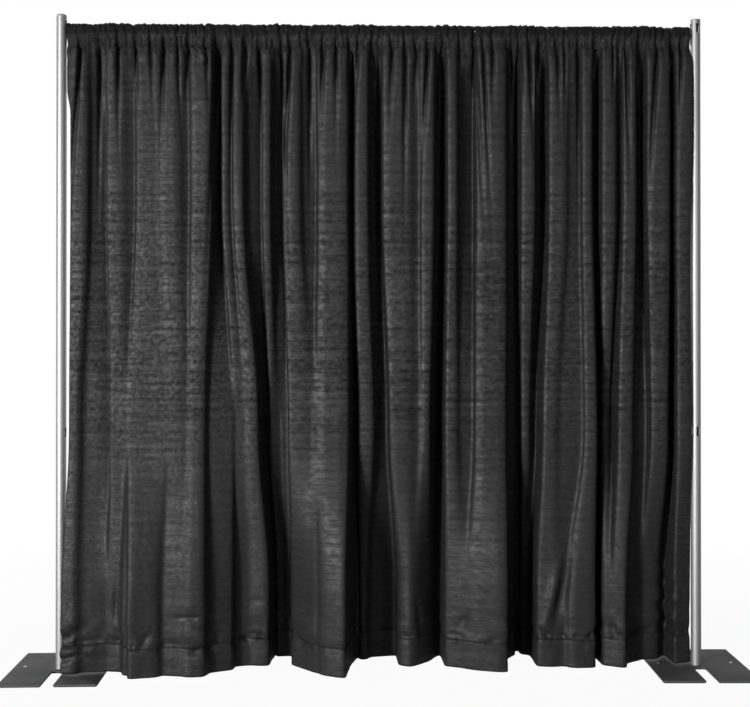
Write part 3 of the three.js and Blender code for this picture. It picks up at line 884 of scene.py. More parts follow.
@dataclass
class Base:
    """Steel base plate on a rubber mat, with its pin, bolt and rivets."""

    side: Side
    finishes: Finishes
    width: float = 355.6 * MM
    depth: float = 406.4 * MM
    slot_width: float = 44.45 * MM
    slot_length: float = 165 * MM
    slot_radius: float = 8 * MM
    corner_radius: float = 6 * MM
    edge_bevel: float = 1.0 * MM
    toe: float = math.radians(1)
    rivet_head: float = 6.5 * MM
    rivet_head_height: float = 3.2 * MM
    rivet_shank: float = 3 * MM
    rivet_tail: float = 5.98 * MM
    rivet_tail_height: float = 1.1 * MM
    rivet_gap: float = 0.3 * MM
    arc_steps: int = 7

    def outline(self) -> list[Pair]:
        """The plate's outline about its pin, anticlockwise from the slot's front right."""
        x, y = self.width / 2, self.depth / 2
        slot, inner = self.slot_width / 2, (self.slot_radius, self.slot_radius)
        end = -y + self.slot_length - self.slot_radius
        side = slot - self.slot_radius
        return [
            (slot, -y),
            *rounded_rectangle(x, y, self.corner_radius, self.arc_steps),
            (-slot, -y),
            *arc((-side, end), inner, 2 * QUARTER_TURN, QUARTER_TURN, self.arc_steps),
            *arc((side, end), inner, QUARTER_TURN, 0, self.arc_steps),
        ]

    def place(self, x: float, y: float) -> Pair:
        """Turns a point of the plate by its toe and moves it under its upright."""
        turn = -self.side.value * self.toe
        centre = node_centre(f"{self.side.word}_upright_tube")
        return (
            centre.x + x * math.cos(turn) - y * math.sin(turn),
            centre.y + x * math.sin(turn) + y * math.cos(turn),
        )

    def build_plate(self) -> Piece:
        """Cuts the plate from sheet and rounds its edges."""
        node = f"{self.side.word}_base_plate"
        low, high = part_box(node)
        outline = [self.place(x, y) for x, y in self.outline()]
        plate = mesh_object(f"{self.side.word}_plate", *prism(outline, low.z, high.z))
        bevel = plate.modifiers.new("rounded_edges", "BEVEL")
        bevel.width = self.edge_bevel
        bevel.segments = 3
        bevel.limit_method = "ANGLE"
        bevel.angle_limit = math.radians(40)
        triangulate = plate.modifiers.new("triangles", "TRIANGULATE")
        triangulate.min_vertices = 5
        shade_smooth(apply_modifiers(plate), 35)
        dress(plate, self.finishes.plate)
        return stand_in(plate, [node], f"{self.side.word}_base")

    def rivet_prototype(self) -> Piece:
        """One rivet: domed head, shank and clinched tail, about the plate's top."""
        low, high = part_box(f"{self.side.word}_plate_rivet_1")
        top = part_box(f"{self.side.word}_base_plate")[1].z + self.rivet_gap
        head, tail, clinch = self.rivet_head, self.rivet_tail, low.z + self.rivet_tail_height
        profile = [
            (0, low.z),
            (tail * 0.92, low.z),
            (tail, low.z + 0.3 * MM),
            (tail, clinch),
            (self.rivet_shank, clinch + 0.1 * MM),
            (self.rivet_shank, top),
            (head * 0.97, top),
            *arc((0, top), (head, self.rivet_head_height), 0.12, QUARTER_TURN - 0.12, 8),
            (0, high.z),
        ]
        return mesh_object(f"{self.side.word}_rivet_prototype", *revolve(profile, 32), 30)

    def build_rivets(self, tree: NodeTree) -> Piece:
        """Sets the plate's rivets at their places.

        Args:
            tree: The tree that sets rivets.

        Returns:
            The rivets, as one piece.
        """
        nodes = [f"{self.side.word}_plate_rivet_{i}" for i in (1, 2)]
        places = [(node_centre(n).x, node_centre(n).y, 0) for n in nodes]
        prototype = self.rivet_prototype()
        rivets = mesh_object(f"{self.side.word}_plate_rivets", np.array(places))
        tree.run(rivets, Rivet=prototype, Material=self.finishes.zinc)
        bpy.data.objects.remove(prototype)
        shade_smooth(rivets, 40)
        return stand_in(rivets, nodes, f"{self.side.word}_base")

    def build(self, rivets: NodeTree) -> list[Piece]:
        """Builds and dresses the whole base.

        Args:
            rivets: The tree that sets rivets.

        Returns:
            The pieces made.
        """
        for part, material in (
            ("floor_mat", self.finishes.mat),
            ("base_pin", self.finishes.steel),
            ("pin_bolt", self.finishes.zinc),
        ):
            dress(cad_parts[f"{self.side.word}_{part}"], material)
        return [self.build_plate(), self.build_rivets(rivets)]


@dataclass
class Upright:
    """Slotted aluminium tube with its top cap."""

    side: Side
    cap: CapStyle
    finishes: Finishes
    slots_per_level: int
    wall: float = 1.65 * MM
    slot_width: float = 12.7 * MM
    slot_height: float = 35 * MM
    slot_margin: float = 15 * MM
    slot_radius: float = 1.5 * MM
    level_drop: float = 1524 * MM
    cutter_reach: float = 40 * MM
    twist: float = math.radians(11)
    sides: int = 96
    lip: float = 1.5 * MM
    lip_edge: float = 0.3 * MM
    skirt_wall: float = 2 * MM
    edge_radius: float = 1.2 * MM

    def __post_init__(self) -> None:
        """Takes the upright's place from the stand."""
        self.body = f"{self.side.word}_upright"
        self.tube_node = f"{self.side.word}_upright_tube"
        self.low, self.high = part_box(self.tube_node)
        self.centre = node_centre(self.tube_node)

    def slot_cutter(self) -> Piece:
        """A rounded bar that punches two slots opposite each other."""
        outline = rounded_rectangle(self.slot_width / 2, self.slot_height / 2, self.slot_radius, 5)
        points, faces = prism(outline, -self.cutter_reach, self.cutter_reach)
        return mesh_object(f"{self.side.word}_slot_cutter", points[:, [2, 0, 1]], faces)

    def build_tube(self, tree: NodeTree) -> Piece:
        """Draws the tube and punches its slots.

        Args:
            tree: The tree that makes slotted tubes.

        Returns:
            The tube.
        """
        centre, high = self.centre, self.high.z
        inwards = 0 if self.side is Side.LEFT else math.pi
        first = inwards + self.side.value * self.twist
        places, turns = [], []
        for level in (high, high - self.level_drop):
            for index in range(self.slots_per_level // 2):
                places.append((centre.x, centre.y, level - self.slot_margin - self.slot_height / 2))
                turns.append((0, 0, first + index * QUARTER_TURN))
        cutter = self.slot_cutter()
        tube = mesh_object(f"{self.side.word}_tube", np.array(places))
        turned = tube.data.attributes.new("turn", "FLOAT_VECTOR", "POINT")
        turned.data.foreach_set("vector", np.array(turns, np.float32).ravel())
        tree.run(
            tube,
            Radius=TUBE_RADIUS,
            Bore=TUBE_RADIUS - self.wall,
            Length=high - self.low.z,
            Middle=(centre.x, centre.y, (self.low.z + high) / 2),
            Sides=self.sides,
            Cutter=cutter,
            Material=self.finishes.upright,
        )
        bpy.data.objects.remove(cutter)
        shade_smooth(tube, 30)
        return stand_in(tube, [self.tube_node], self.body)

    def cap_top(self, lip_top: float, top: float) -> list[Pair]:
        """The crown's profile from the lip's edge to the pole.

        Args:
            lip_top: The height of the lip's top.
            top: The height of the cap's top.

        Returns:
            Its (radius, height) pairs.
        """
        if self.cap is CapStyle.DOMED:
            radii = (TUBE_RADIUS, top - lip_top)
            dome = arc((0, lip_top), radii, 0.12, QUARTER_TURN - 0.1, 12)
            return [(TUBE_RADIUS, lip_top), *dome, (0, top)]
        edge = self.edge_radius
        rim = arc((TUBE_RADIUS - edge, top - edge), (edge, edge), 0, QUARTER_TURN, 5)
        return [*rim, (TUBE_RADIUS * 0.5, top - 0.1 * MM), (0, top - 0.2 * MM)]

    def build_cap(self) -> Piece:
        """Moulds the plug: a skirt in the tube, a lip on its rim and the crown."""
        node = f"{self.body}_cap"
        low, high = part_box(node)
        edge = self.lip_edge
        rim = self.high.z + edge
        skirt = TUBE_RADIUS - self.wall - edge
        profile = [
            (0, rim),
            (skirt - self.skirt_wall, rim),
            (skirt - self.skirt_wall, low.z),
            (skirt - 0.4 * MM, low.z),
            (skirt, low.z + 0.8 * MM),
            (skirt, rim),
            (TUBE_RADIUS - edge, rim),
            (TUBE_RADIUS, rim + edge),
            *self.cap_top(rim + self.lip, high.z),
        ]
        points, faces = revolve(profile, self.sides)
        points[:, :2] += (self.centre.x, self.centre.y)
        cap = mesh_object(f"{self.side.word}_cap", points, faces, 35)
        dress(cap, self.finishes.cap)
        return stand_in(cap, [node], self.body)

    def build(self, tubes: NodeTree) -> list[Piece]:
        """Builds the tube and its cap.

        Args:
            tubes: The tree that makes slotted tubes.

        Returns:
            The pieces made.
        """
        return [self.build_tube(tubes), self.build_cap()]


@dataclass
class Crossbar:
    """Telescoping bar in the pockets, with its hooks, rivets, bush and plug."""

    finishes: Finishes

    def dress(self) -> None:
        """Gives the crossbar's pieces their finishes; its solids keep their shapes."""
        materials = {
            "crossbar_inner_tube": self.finishes.bar,
            "crossbar_outer_tube": self.finishes.bar,
            "crossbar_mouth_bush": self.finishes.nylon,
            "crossbar_tail_plug": self.finishes.nylon,
        }
        for side in Side:
            materials[f"{side.word}_hook_blade"] = self.finishes.steel
            for index in (1, 2):
                materials[f"{side.word}_hook_rivet_{index}"] = self.finishes.zinc
        for node, material in materials.items():
            dress(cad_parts[node], material)


Levels = Triple


def at_level(values: Levels, level: float) -> float:
    """A value between those of the upper, middle and lower levels, which are 0, 1 and 2."""
    return float(np.interp(level, (0, 1, 2), values))


@dataclass(frozen=True)
class Fold:
    """One fold's front and the valley on its right, at the upper, middle and lower levels.

    Places across are shares of the drape's width. Depths are millimetres behind the bar's axis:
    front at the upper and middle levels, hem at the lower level's left and right edges.
    """

    left: Levels
    right: Levels
    front: Pair
    hem: Pair
    valley: Levels

    def edge(self, level: float) -> tuple[float, float, float, float]:
        """The front's left and right places and their depths at a level."""
        near, far = (at_level((*self.front, hem), level) * MM for hem in self.hem)
        return at_level(self.left, level), at_level(self.right, level), near, far

    def bottom(self, level: float) -> float:
        """The valley's depth at a level."""
        return at_level(self.valley, level) * MM


FOLDS = (
    Fold((0.003, 0.002, -0.003), (0.030, 0.018, 0.021), (-22, -25), (-88, -96), (12, -3, -73)),
    Fold((0.060, 0.070, 0.067), (0.089, 0.095, 0.089), (-25, -58), (-66, -74), (-12, -58, -120)),
    Fold((0.108, 0.099, 0.106), (0.141, 0.157, 0.152), (-28, -60), (-160, -138), (-30, -61, -126)),
    Fold((0.146, 0.161, 0.157), (0.178, 0.190, 0.189), (-28, -60), (-120, -134), (-14, -60, -138)),
    Fold((0.194, 0.194, 0.194), (0.227, 0.219, 0.223), (-26, -62), (-143, -138), (42, -25, -74)),
    Fold((0.243, 0.264, 0.266), (0.254, 0.279, 0.286), (-20, -10), (-14, -3), (-8, -12, -3)),
    Fold((0.261, 0.283, 0.291), (0.277, 0.303, 0.320), (-20, -12), (-2, -8), (30, 75, 113)),
    Fold((0.308, 0.316, 0.327), (0.322, 0.325, 0.334), (-24, 68), (112, 114), (34, 78, 116)),
    Fold((0.341, 0.351, 0.355), (0.368, 0.389, 0.390), (-26, -42), (2, -90), (8, -46, -102)),
    Fold((0.397, 0.395, 0.401), (0.446, 0.447, 0.443), (-27, -45), (-118, -165), (46, 55, 40)),
    Fold((0.457, 0.461, 0.464), (0.478, 0.487, 0.477), (-22, 22), (64, 64), (50, 72, 106)),
    Fold((0.501, 0.512, 0.527), (0.547, 0.547, 0.546), (-26, -38), (-8, -33), (-12, -28, -26)),
    Fold((0.563, 0.563, 0.553), (0.584, 0.577, 0.581), (-26, -34), (-22, 48), (54, 72, 104)),
    Fold((0.605, 0.601, 0.600), (0.621, 0.620, 0.628), (-25, -40), (-26, -52), (34, -18, -62)),
    Fold((0.652, 0.649, 0.635), (0.700, 0.699, 0.698), (-26, -44), (-66, -106), (54, 75, 118)),
    Fold((0.724, 0.729, 0.733), (0.747, 0.742, 0.740), (-24, 45), (122, 122), (52, 78, 112)),
    Fold((0.769, 0.758, 0.748), (0.797, 0.779, 0.778), (-26, -42), (-34, -44), (-4, -30, -38)),
    Fold((0.823, 0.825, 0.797), (0.839, 0.845, 0.841), (-24, -42), (-50, -56), (50, 66, 56)),
    Fold((0.855, 0.860, 0.854), (0.877, 0.873, 0.863), (-26, 42), (-28, -36), (14, 58, -40)),
    Fold((0.889, 0.879, 0.868), (0.910, 0.903, 0.890), (-25, -38), (-42, -62), (46, 8, 16)),
    Fold((0.928, 0.932, 0.925), (0.965, 0.960, 0.955), (-26, -38), (46, 58), (40, 46, 96)),
    Fold((0.975, 0.976, 0.972), (0.998, 0.999, 1.0015), (-24, -24), (-16, 16), (0, 0, 0)),
)
PANEL_ENDS = (7, 14, 21)
CREASES = (
    0.018, 0.047, 0.078, 0.106, 0.130, 0.151, 0.172, 0.190, 0.219, 0.236, 0.260, 0.281, 0.302,
    0.339, 0.353, 0.384, 0.406, 0.427, 0.448, 0.462, 0.485, 0.517, 0.538, 0.557, 0.575, 0.597,
    0.625, 0.650, 0.663, 0.679, 0.711, 0.724, 0.738, 0.754, 0.783, 0.796, 0.818, 0.844, 0.874,
    0.895, 0.918, 0.945, 0.970, 0.985,
)


def smooth_step(value: Values) -> Values:
    """Eases a value from 0 to 1."""
    held = np.clip(value, 0, 1)
    return held * held * (3 - 2 * held)


def bell(value: Values, middle: float = 0, reach: float = 1) -> Values:
    """Gives 1 at a middle value, easing to 0 on both sides over a reach."""
    return np.exp(-(((value - middle) / reach) ** 2))


def ripple(across: np.ndarray, along: Values, cell: Pair, seed: int) -> np.ndarray:
    """Smooth seeded noise between -1 and 1.

    Args:
        across: First coordinate of every point.
        along: Second coordinate of every point, or one for all.
        cell: Size of one noise cell along each coordinate.
        seed: The noise's seed.

    Returns:
        The noise at every point.
    """
    lattice = noise_lattice(seed)
    size = lattice.shape[0]
    u, v = across / cell[0] + 64.37, along / cell[1] + 31.71
    iu, iv = np.floor(u).astype(int), np.floor(v).astype(int)
    fu, fv = smooth_step(u - iu), smooth_step(v - iv)
    low = lattice[iu % size, iv % size] * (1 - fu) + lattice[(iu + 1) % size, iv % size] * fu
    iv += 1
    high = lattice[iu % size, iv % size] * (1 - fu) + lattice[(iu + 1) % size, iv % size] * fu
    return low * (1 - fv) + high * fv


@lru_cache(maxsize=None)
def noise_lattice(seed: int) -> np.ndarray:
    """Seeded random values that the noise runs between."""
    return np.random.default_rng(seed).uniform(-1, 1, (257, 257))


@dataclass
class FoldPlan:
    """Plan curves of the drape at any height, from the folds' edges."""

    left: float
    width: float
    stitch_line: float
    upper: float = 1.78
    middle: float = 0.89
    lower: float = 0.30
    front_run: float = 0.13
    valley_run: float = 0.05
    crown_share: float = 0.07
    crown_limit: float = 9 * MM
    flat_crown: float = 1.5 * MM
    crown_drop: float = 0.3
    slope: float = 14 * MM
    slope_share: float = 0.38
    wall: float = 4.5 * MM
    wall_share: float = 0.14
    lean: Pair = (0.30, 0.25)
    stitched_share: float = 0.5
    crease_width: float = 6 * MM
    crease_depth: Pair = (17 * MM, 44 * MM)
    crease_onset: float = 0.03
    crease_length: Pair = (0.11, 0.26)
    crease_fade: float = 1.4
    crease_drift: float = 0.12
    crease_seed: int = 5
    swell: float = 0.22
    swell_run: float = 0.15
    seam_overlap: float = 12 * MM
    seam_step: float = 4 * MM
    corner_radius: Pair = (6 * MM, 10 * MM)
    lap_run: float = 60 * MM
    panel_gap: float = 0.4 * MM
    grain: float = 1 * MM
    spread_reach: float = 20.5 * MM
    spread_run: float = 30 * MM
    spread_foot: float = 2.08
    spread_rise: float = 0.10
    overlap_reach: float = 11 * MM
    overlap_onset: float = 0.06
    overlap_drop: float = 0.80
    overlap_fade: float = 0.60

    def level(self, height: float) -> float:
        """Fold level of a height: 0 upper, 1 middle, 2 lower."""
        to_middle = smooth_step((self.upper - height) / (self.upper - self.middle))
        to_lower = smooth_step((self.middle - height) / (self.middle - self.lower))
        return float(to_middle + to_lower)

    def front_knots(self, index: int, level: float) -> list[Pair]:
        """Knots of a fold's front, swelling a little between its edges where a valley follows.

        Args:
            index: The fold's number from the left.
            level: The fold level.

        Returns:
            Four knots, as shares across and depths.
        """
        left, right, near, far = FOLDS[index].edge(level)
        drop = max(FOLDS[index].bottom(level) - far, 0)
        crown = min(self.crown_share * (right - left) * self.width, self.crown_limit)
        crown = min(crown, self.flat_crown + self.crown_drop * drop)
        knots = [(left, near)]
        for part in (0.25, 0.75):
            knots.append((left + (right - left) * part, near + (far - near) * part - crown))
        knots.append((right, far))
        return knots

    def valley_knots(self, index: int, level: float) -> list[Pair]:
        """Knots of the valley's bottom after a fold: a long slope down, then a steep wall.

        Args:
            index: The fold's number from the left.
            level: The fold level.

        Returns:
            Two knots, as shares across and depths.
        """
        _, right, _, far = FOLDS[index].edge(level)
        left = FOLDS[index + 1].edge(level)[0]
        slope = min(self.slope_share * (left - right), self.slope / self.width)
        wall = min(self.wall_share * (left - right), self.wall / self.width)
        depth = FOLDS[index].bottom(level)
        drop = max(depth - far, 0)
        low, high = depth - self.lean[0] * drop, depth + self.lean[1] * drop
        return [(right + slope, low), (left - wall, high)]

    def seam_knot(self, index: int, level: float, along: float, back: float) -> Pair:
        """The knot where two panels meet in a valley.

        Args:
            index: The number of the fold before the valley.
            level: The fold level.
            along: How far the panel runs on past the valley's middle, as a share of the width.
            back: How far it steps back.

        Returns:
            The knot.
        """
        low, high = self.valley_knots(index, level)
        return (low[0] + high[0]) / 2 + along, (low[1] + high[1]) / 2 + back

    def knots(self, panel: int, height: float) -> np.ndarray:
        """Knots of a panel's plan curve at a height.

        Args:
            panel: The panel's number from the left.
            height: The height above the floor.

        Returns:
            One (x, y) row for each knot.
        """
        level = self.level(height)
        first = PANEL_ENDS[panel - 1] + 1 if panel else 0
        last = PANEL_ENDS[panel]
        lapped = float(smooth_step((self.stitch_line - height) / self.lap_run))
        lap = (self.seam_overlap * lapped - self.panel_gap / 2 * (1 - lapped)) / self.width
        points: list[Pair] = []
        if panel:
            points.append(self.seam_knot(first - 1, level, -lap, 0))
            points.append(self.valley_knots(first - 1, level)[1])
        for index in range(first, last + 1):
            points += self.front_knots(index, level)
            if index < last:
                points += self.valley_knots(index, level)
        if last < len(FOLDS) - 1:
            points.append(self.valley_knots(last, level)[0])
            points.append(self.seam_knot(last, level, lap, self.seam_step * lapped))
        below = max(self.stitch_line - height, 0)
        forward = 1 - self.stitched_share * math.exp(-below / self.front_run)
        back = 1 - math.exp(-below / self.valley_run)
        return np.array([
            (self.left + self.width * share, depth * (back if depth > 0 else forward))
            for share, depth in points
        ])

    def creases(self, x: np.ndarray, below: float) -> np.ndarray:
        """How far the heading's creases lie behind the cloth's front.

        Args:
            x: Places along the bar.
            below: How far the height is under the stitch line.

        Returns:
            The distance to the back at each place, less the swell between the creases.
        """
        sewn, deepest = self.crease_depth
        shortest, longer = self.crease_length
        opened = sewn + (deepest - sewn) * (1 - math.exp(-below / self.crease_onset))
        places = self.left + self.width * np.array(CREASES)
        share = np.random.default_rng(self.crease_seed).uniform(0, 1, (3, len(CREASES)))
        fade = np.exp(-((below / (shortest + longer * share[0] ** 2)) ** self.crease_fade))
        depth = opened * (0.55 + 0.45 * share[1]) * fade
        drift = self.crease_drift * (share[2] - 0.5) * below
        offset = (x[:, None] - places - drift) / (self.crease_width * (0.8 + 0.4 * share[1]))
        swell = self.swell * opened * math.exp(-below / self.swell_run)
        return (depth * bell(offset)).sum(1) - swell

    def spread(self, x: np.ndarray, height: float) -> np.ndarray:
        """How far the heading's left end is pushed along to the upright, and back beside it."""
        near_top = float(smooth_step((height - self.spread_foot) / self.spread_rise))
        return self.spread_reach * near_top * np.exp(-(x - self.left) / self.spread_run)

    def overlap(self, x: np.ndarray, height: float) -> np.ndarray:
        """How far the right end laps over the upright's front, between pocket and mid height.

        Args:
            x: Places along the bar.
            height: The height above the floor.

        Returns:
            The distance to the right at each place.
        """
        below = self.stitch_line - height
        starts = smooth_step(below / self.overlap_onset)
        ends = smooth_step((self.overlap_drop - below) / self.overlap_fade)
        right = self.left + self.width
        return self.overlap_reach * starts * ends * np.exp(-(right - x) / self.spread_run)

    def curve(self, panel: int, height: float, columns: int) -> np.ndarray:
        """A panel's plan curve with rounded corners, evenly spaced along the cloth.

        Args:
            panel: The panel's number from the left.
            height: The height above the floor.
            columns: How many points the curve has.

        Returns:
            One (x, y) row for each point.
        """
        dense = spread_evenly(self.knots(panel, height), self.grain)
        radius = float(np.interp(self.level(height), (1, 2), self.corner_radius))
        rounded = round_corners(dense, radius / self.grain)
        tucked = self.spread(rounded[:, 0], height)
        rounded += np.stack([-tucked, tucked], 1)
        rounded[:, 0] += self.overlap(rounded[:, 0], height)
        rounded[:, 1] += self.creases(rounded[:, 0], self.stitch_line - height)
        return spread_evenly(rounded, columns=columns)


def spread_evenly(
    points: np.ndarray, spacing: float | None = None, columns: int | None = None
) -> np.ndarray:
    """Spreads points evenly along a path.

    Args:
        points: The path.
        spacing: Distance between points, or
        columns: the number of points.

    Returns:
        The new points.
    """
    steps = np.linalg.norm(np.diff(points, axis=0), axis=1)
    run = np.concatenate([[0], np.cumsum(steps)])
    count = columns or int(run[-1] / spacing) + 2
    target = np.linspace(0, run[-1], count)
    return np.stack([np.interp(target, run, points[:, axis]) for axis in range(points.shape[1])], 1)


def round_corners(points: np.ndarray, reach: float) -> np.ndarray:
    """Rounds a path's corners with a bell-shaped mean; its ends stay.

    Args:
        points: Evenly spaced points.
        reach: The bell's width in points.

    Returns:
        The rounded path.
    """
    half = int(3 * reach)
    bell = np.exp(-0.5 * (np.arange(-half, half + 1) / reach) ** 2)
    bell /= bell.sum()
    before = 2 * points[0] - points[half:0:-1]
    after = 2 * points[-1] - points[-2 : -half - 2 : -1]
    padded = np.concatenate([before, points, after])
    return np.stack([np.convolve(padded[:, axis], bell, "valid") for axis in (0, 1)], 1)


@lru_cache(maxsize=4)
def gather_edges(pitch: float) -> np.ndarray:
    """Shares of the drape's width where small gathers meet, every crease among them.

    Args:
        pitch: The mean width of a gather.

    Returns:
        The shares in order.
    """
    rng = np.random.default_rng(8)
    marks = [-0.012, *CREASES, 1.012]
    edges: list[float] = []
    for low, high in zip(marks, marks[1:]):
        count = max(1, round((high - low) / pitch))
        parts = np.sort((np.arange(count) + rng.uniform(-0.28, 0.28, count)) / count)
        parts[0] = 0
        edges.extend(low + (high - low) * parts)
    return np.array([*edges, marks[-1]])


def gather_wave(share: np.ndarray, pitch: float) -> np.ndarray:
    """Small gathers of the heading: 0 where two meet and up to 1.2 on a ridge.

    Args:
        share: Places across the drape.
        pitch: The mean width of a gather.

    Returns:
        The wave at each place.
    """
    edges = gather_edges(pitch)
    index = np.clip(np.searchsorted(edges, share, "right") - 1, 0, len(edges) - 2)
    gap = edges[index + 1] - edges[index]
    part = np.clip((share - edges[index]) / gap, 0, 1)
    return np.abs(np.sin(math.pi * part)) ** 0.7 * np.clip(gap / pitch, 0.45, 1.2)


@dataclass(frozen=True)
class Dent:
    """A local hollow of the cloth, or a bulge where the depth is negative, in millimetres."""

    share: float
    height: float
    run: float
    rise: float
    slant: float
    depth: float

    def push(self, drape_share: np.ndarray, height: float, width: float) -> np.ndarray:
        """How far the dent pushes the cloth back at a height.

        Args:
            drape_share: Places across the drape.
            height: The height above the floor.
            width: The drape's width.

        Returns:
            The distance at each place.
        """
        up = height - self.height
        along = (drape_share - self.share) * width - self.slant * up
        return self.depth * MM * bell(along, 0, self.run) * bell(up, 0, self.rise)


DENTS = tuple(Dent(*row) for row in (
    (0.0160, 0.120, 0.036, 0.014, 1.0, 13),
    (0.0085, 0.072, 0.026, 0.018, 2.3, 15),
    (0.0340, 0.092, 0.045, 0.018, 1.2, -9),
    (0.0804, 0.266, 0.009, 0.056, 0.0, 8),
    (0.0892, 0.155, 0.019, 0.015, -0.9, 7),
    (0.0988, 0.237, 0.026, 0.067, 0.0, -6),
    (0.1325, 0.148, 0.015, 0.030, 0.5, 6),
    (0.2016, 0.229, 0.038, 0.009, 0.0, 10),
    (0.2128, 0.107, 0.026, 0.015, 0.8, 12),
    (0.2996, 0.252, 0.038, 0.009, -2.0, 9),
    (0.2691, 0.115, 0.015, 0.015, 0.0, 9),
    (0.2819, 0.118, 0.011, 0.013, -0.6, 8),
    (0.3108, 0.122, 0.023, 0.011, -1.0, 9),
    (0.3686, 0.115, 0.023, 0.018, -0.7, 12),
    (0.3799, 0.044, 0.030, 0.011, 1.5, 4),
    (0.5437, 0.126, 0.019, 0.011, 0.0, 7),
    (0.5597, 0.200, 0.011, 0.059, -0.1, 5),
    (0.6304, 0.192, 0.017, 0.022, 0.5, 7),
    (0.6175, 0.137, 0.023, 0.011, -0.8, 5),
    (0.7720, 0.285, 0.017, 0.118, 0.22, -12),
    (0.7880, 0.285, 0.017, 0.118, 0.22, 12),
    (0.7589, 0.141, 0.017, 0.018, -0.6, 12),
    (0.8360, 0.141, 0.017, 0.018, 0.7, 12),
    (0.8215, 0.096, 0.015, 0.015, 0.5, 4),
    (0.8697, 0.155, 0.011, 0.026, 0.0, 7),
    (0.9147, 0.122, 0.023, 0.015, -0.4, 6),
    (0.6673, 0.122, 0.019, 0.009, 0.0, 4),
    (0.4393, 0.126, 0.019, 0.011, 0.0, 4),
))


@dataclass(frozen=True)
class Wrinkles:
    """A layer of seeded wrinkles: their depth, their cells across and up, and their slant."""

    depth: float
    cell: Pair
    slant: float = 0

    def at(self, cloth: np.ndarray, height: float, seed: int) -> np.ndarray:
        """How far the wrinkles stand out at each place along the cloth."""
        return self.depth * ripple(cloth + self.slant * height, height, self.cell, seed)


@dataclass(frozen=True)
class PocketPath:
    """The pocket's path from the front of its stitch line round the bar and back down."""

    bar_height: float
    stitch_line: float
    radius: float

    @property
    def tangent(self) -> float:
        """The angle, up from straight down, at which the cloth meets the bar."""
        return math.acos(self.radius / (self.bar_height - self.stitch_line))

    @property
    def straight(self) -> float:
        """The length from the stitch line to the bar."""
        return math.sqrt((self.bar_height - self.stitch_line) ** 2 - self.radius**2)

    @property
    def arc(self) -> float:
        """The length round the bar."""
        return self.radius * (FULL_TURN - 2 * self.tangent)

    @property
    def total(self) -> float:
        """The whole path's length."""
        return 2 * self.straight + self.arc

    def point(self, run: float) -> tuple[float, float, float, float]:
        """A point of the path.

        Args:
            run: Distance from the front of the stitch line.

        Returns:
            Its y and z, and the y and z of the direction away from the bar.
        """
        if self.straight < run < self.straight + self.arc:
            angle = self.tangent + (run - self.straight) / self.radius
            y, z = -math.sin(angle), -math.cos(angle)
            return self.radius * y, self.bar_height + self.radius * z, y, z
        side = -1 if run <= self.straight else 1
        part = (run if side < 0 else self.total - run) / self.straight
        sine, cosine = math.sin(self.tangent), math.cos(self.tangent)
        rise = self.bar_height - self.stitch_line - self.radius * cosine
        y, z = side * part * self.radius * sine, self.stitch_line + part * rise
        return y, z, side * sine, -cosine


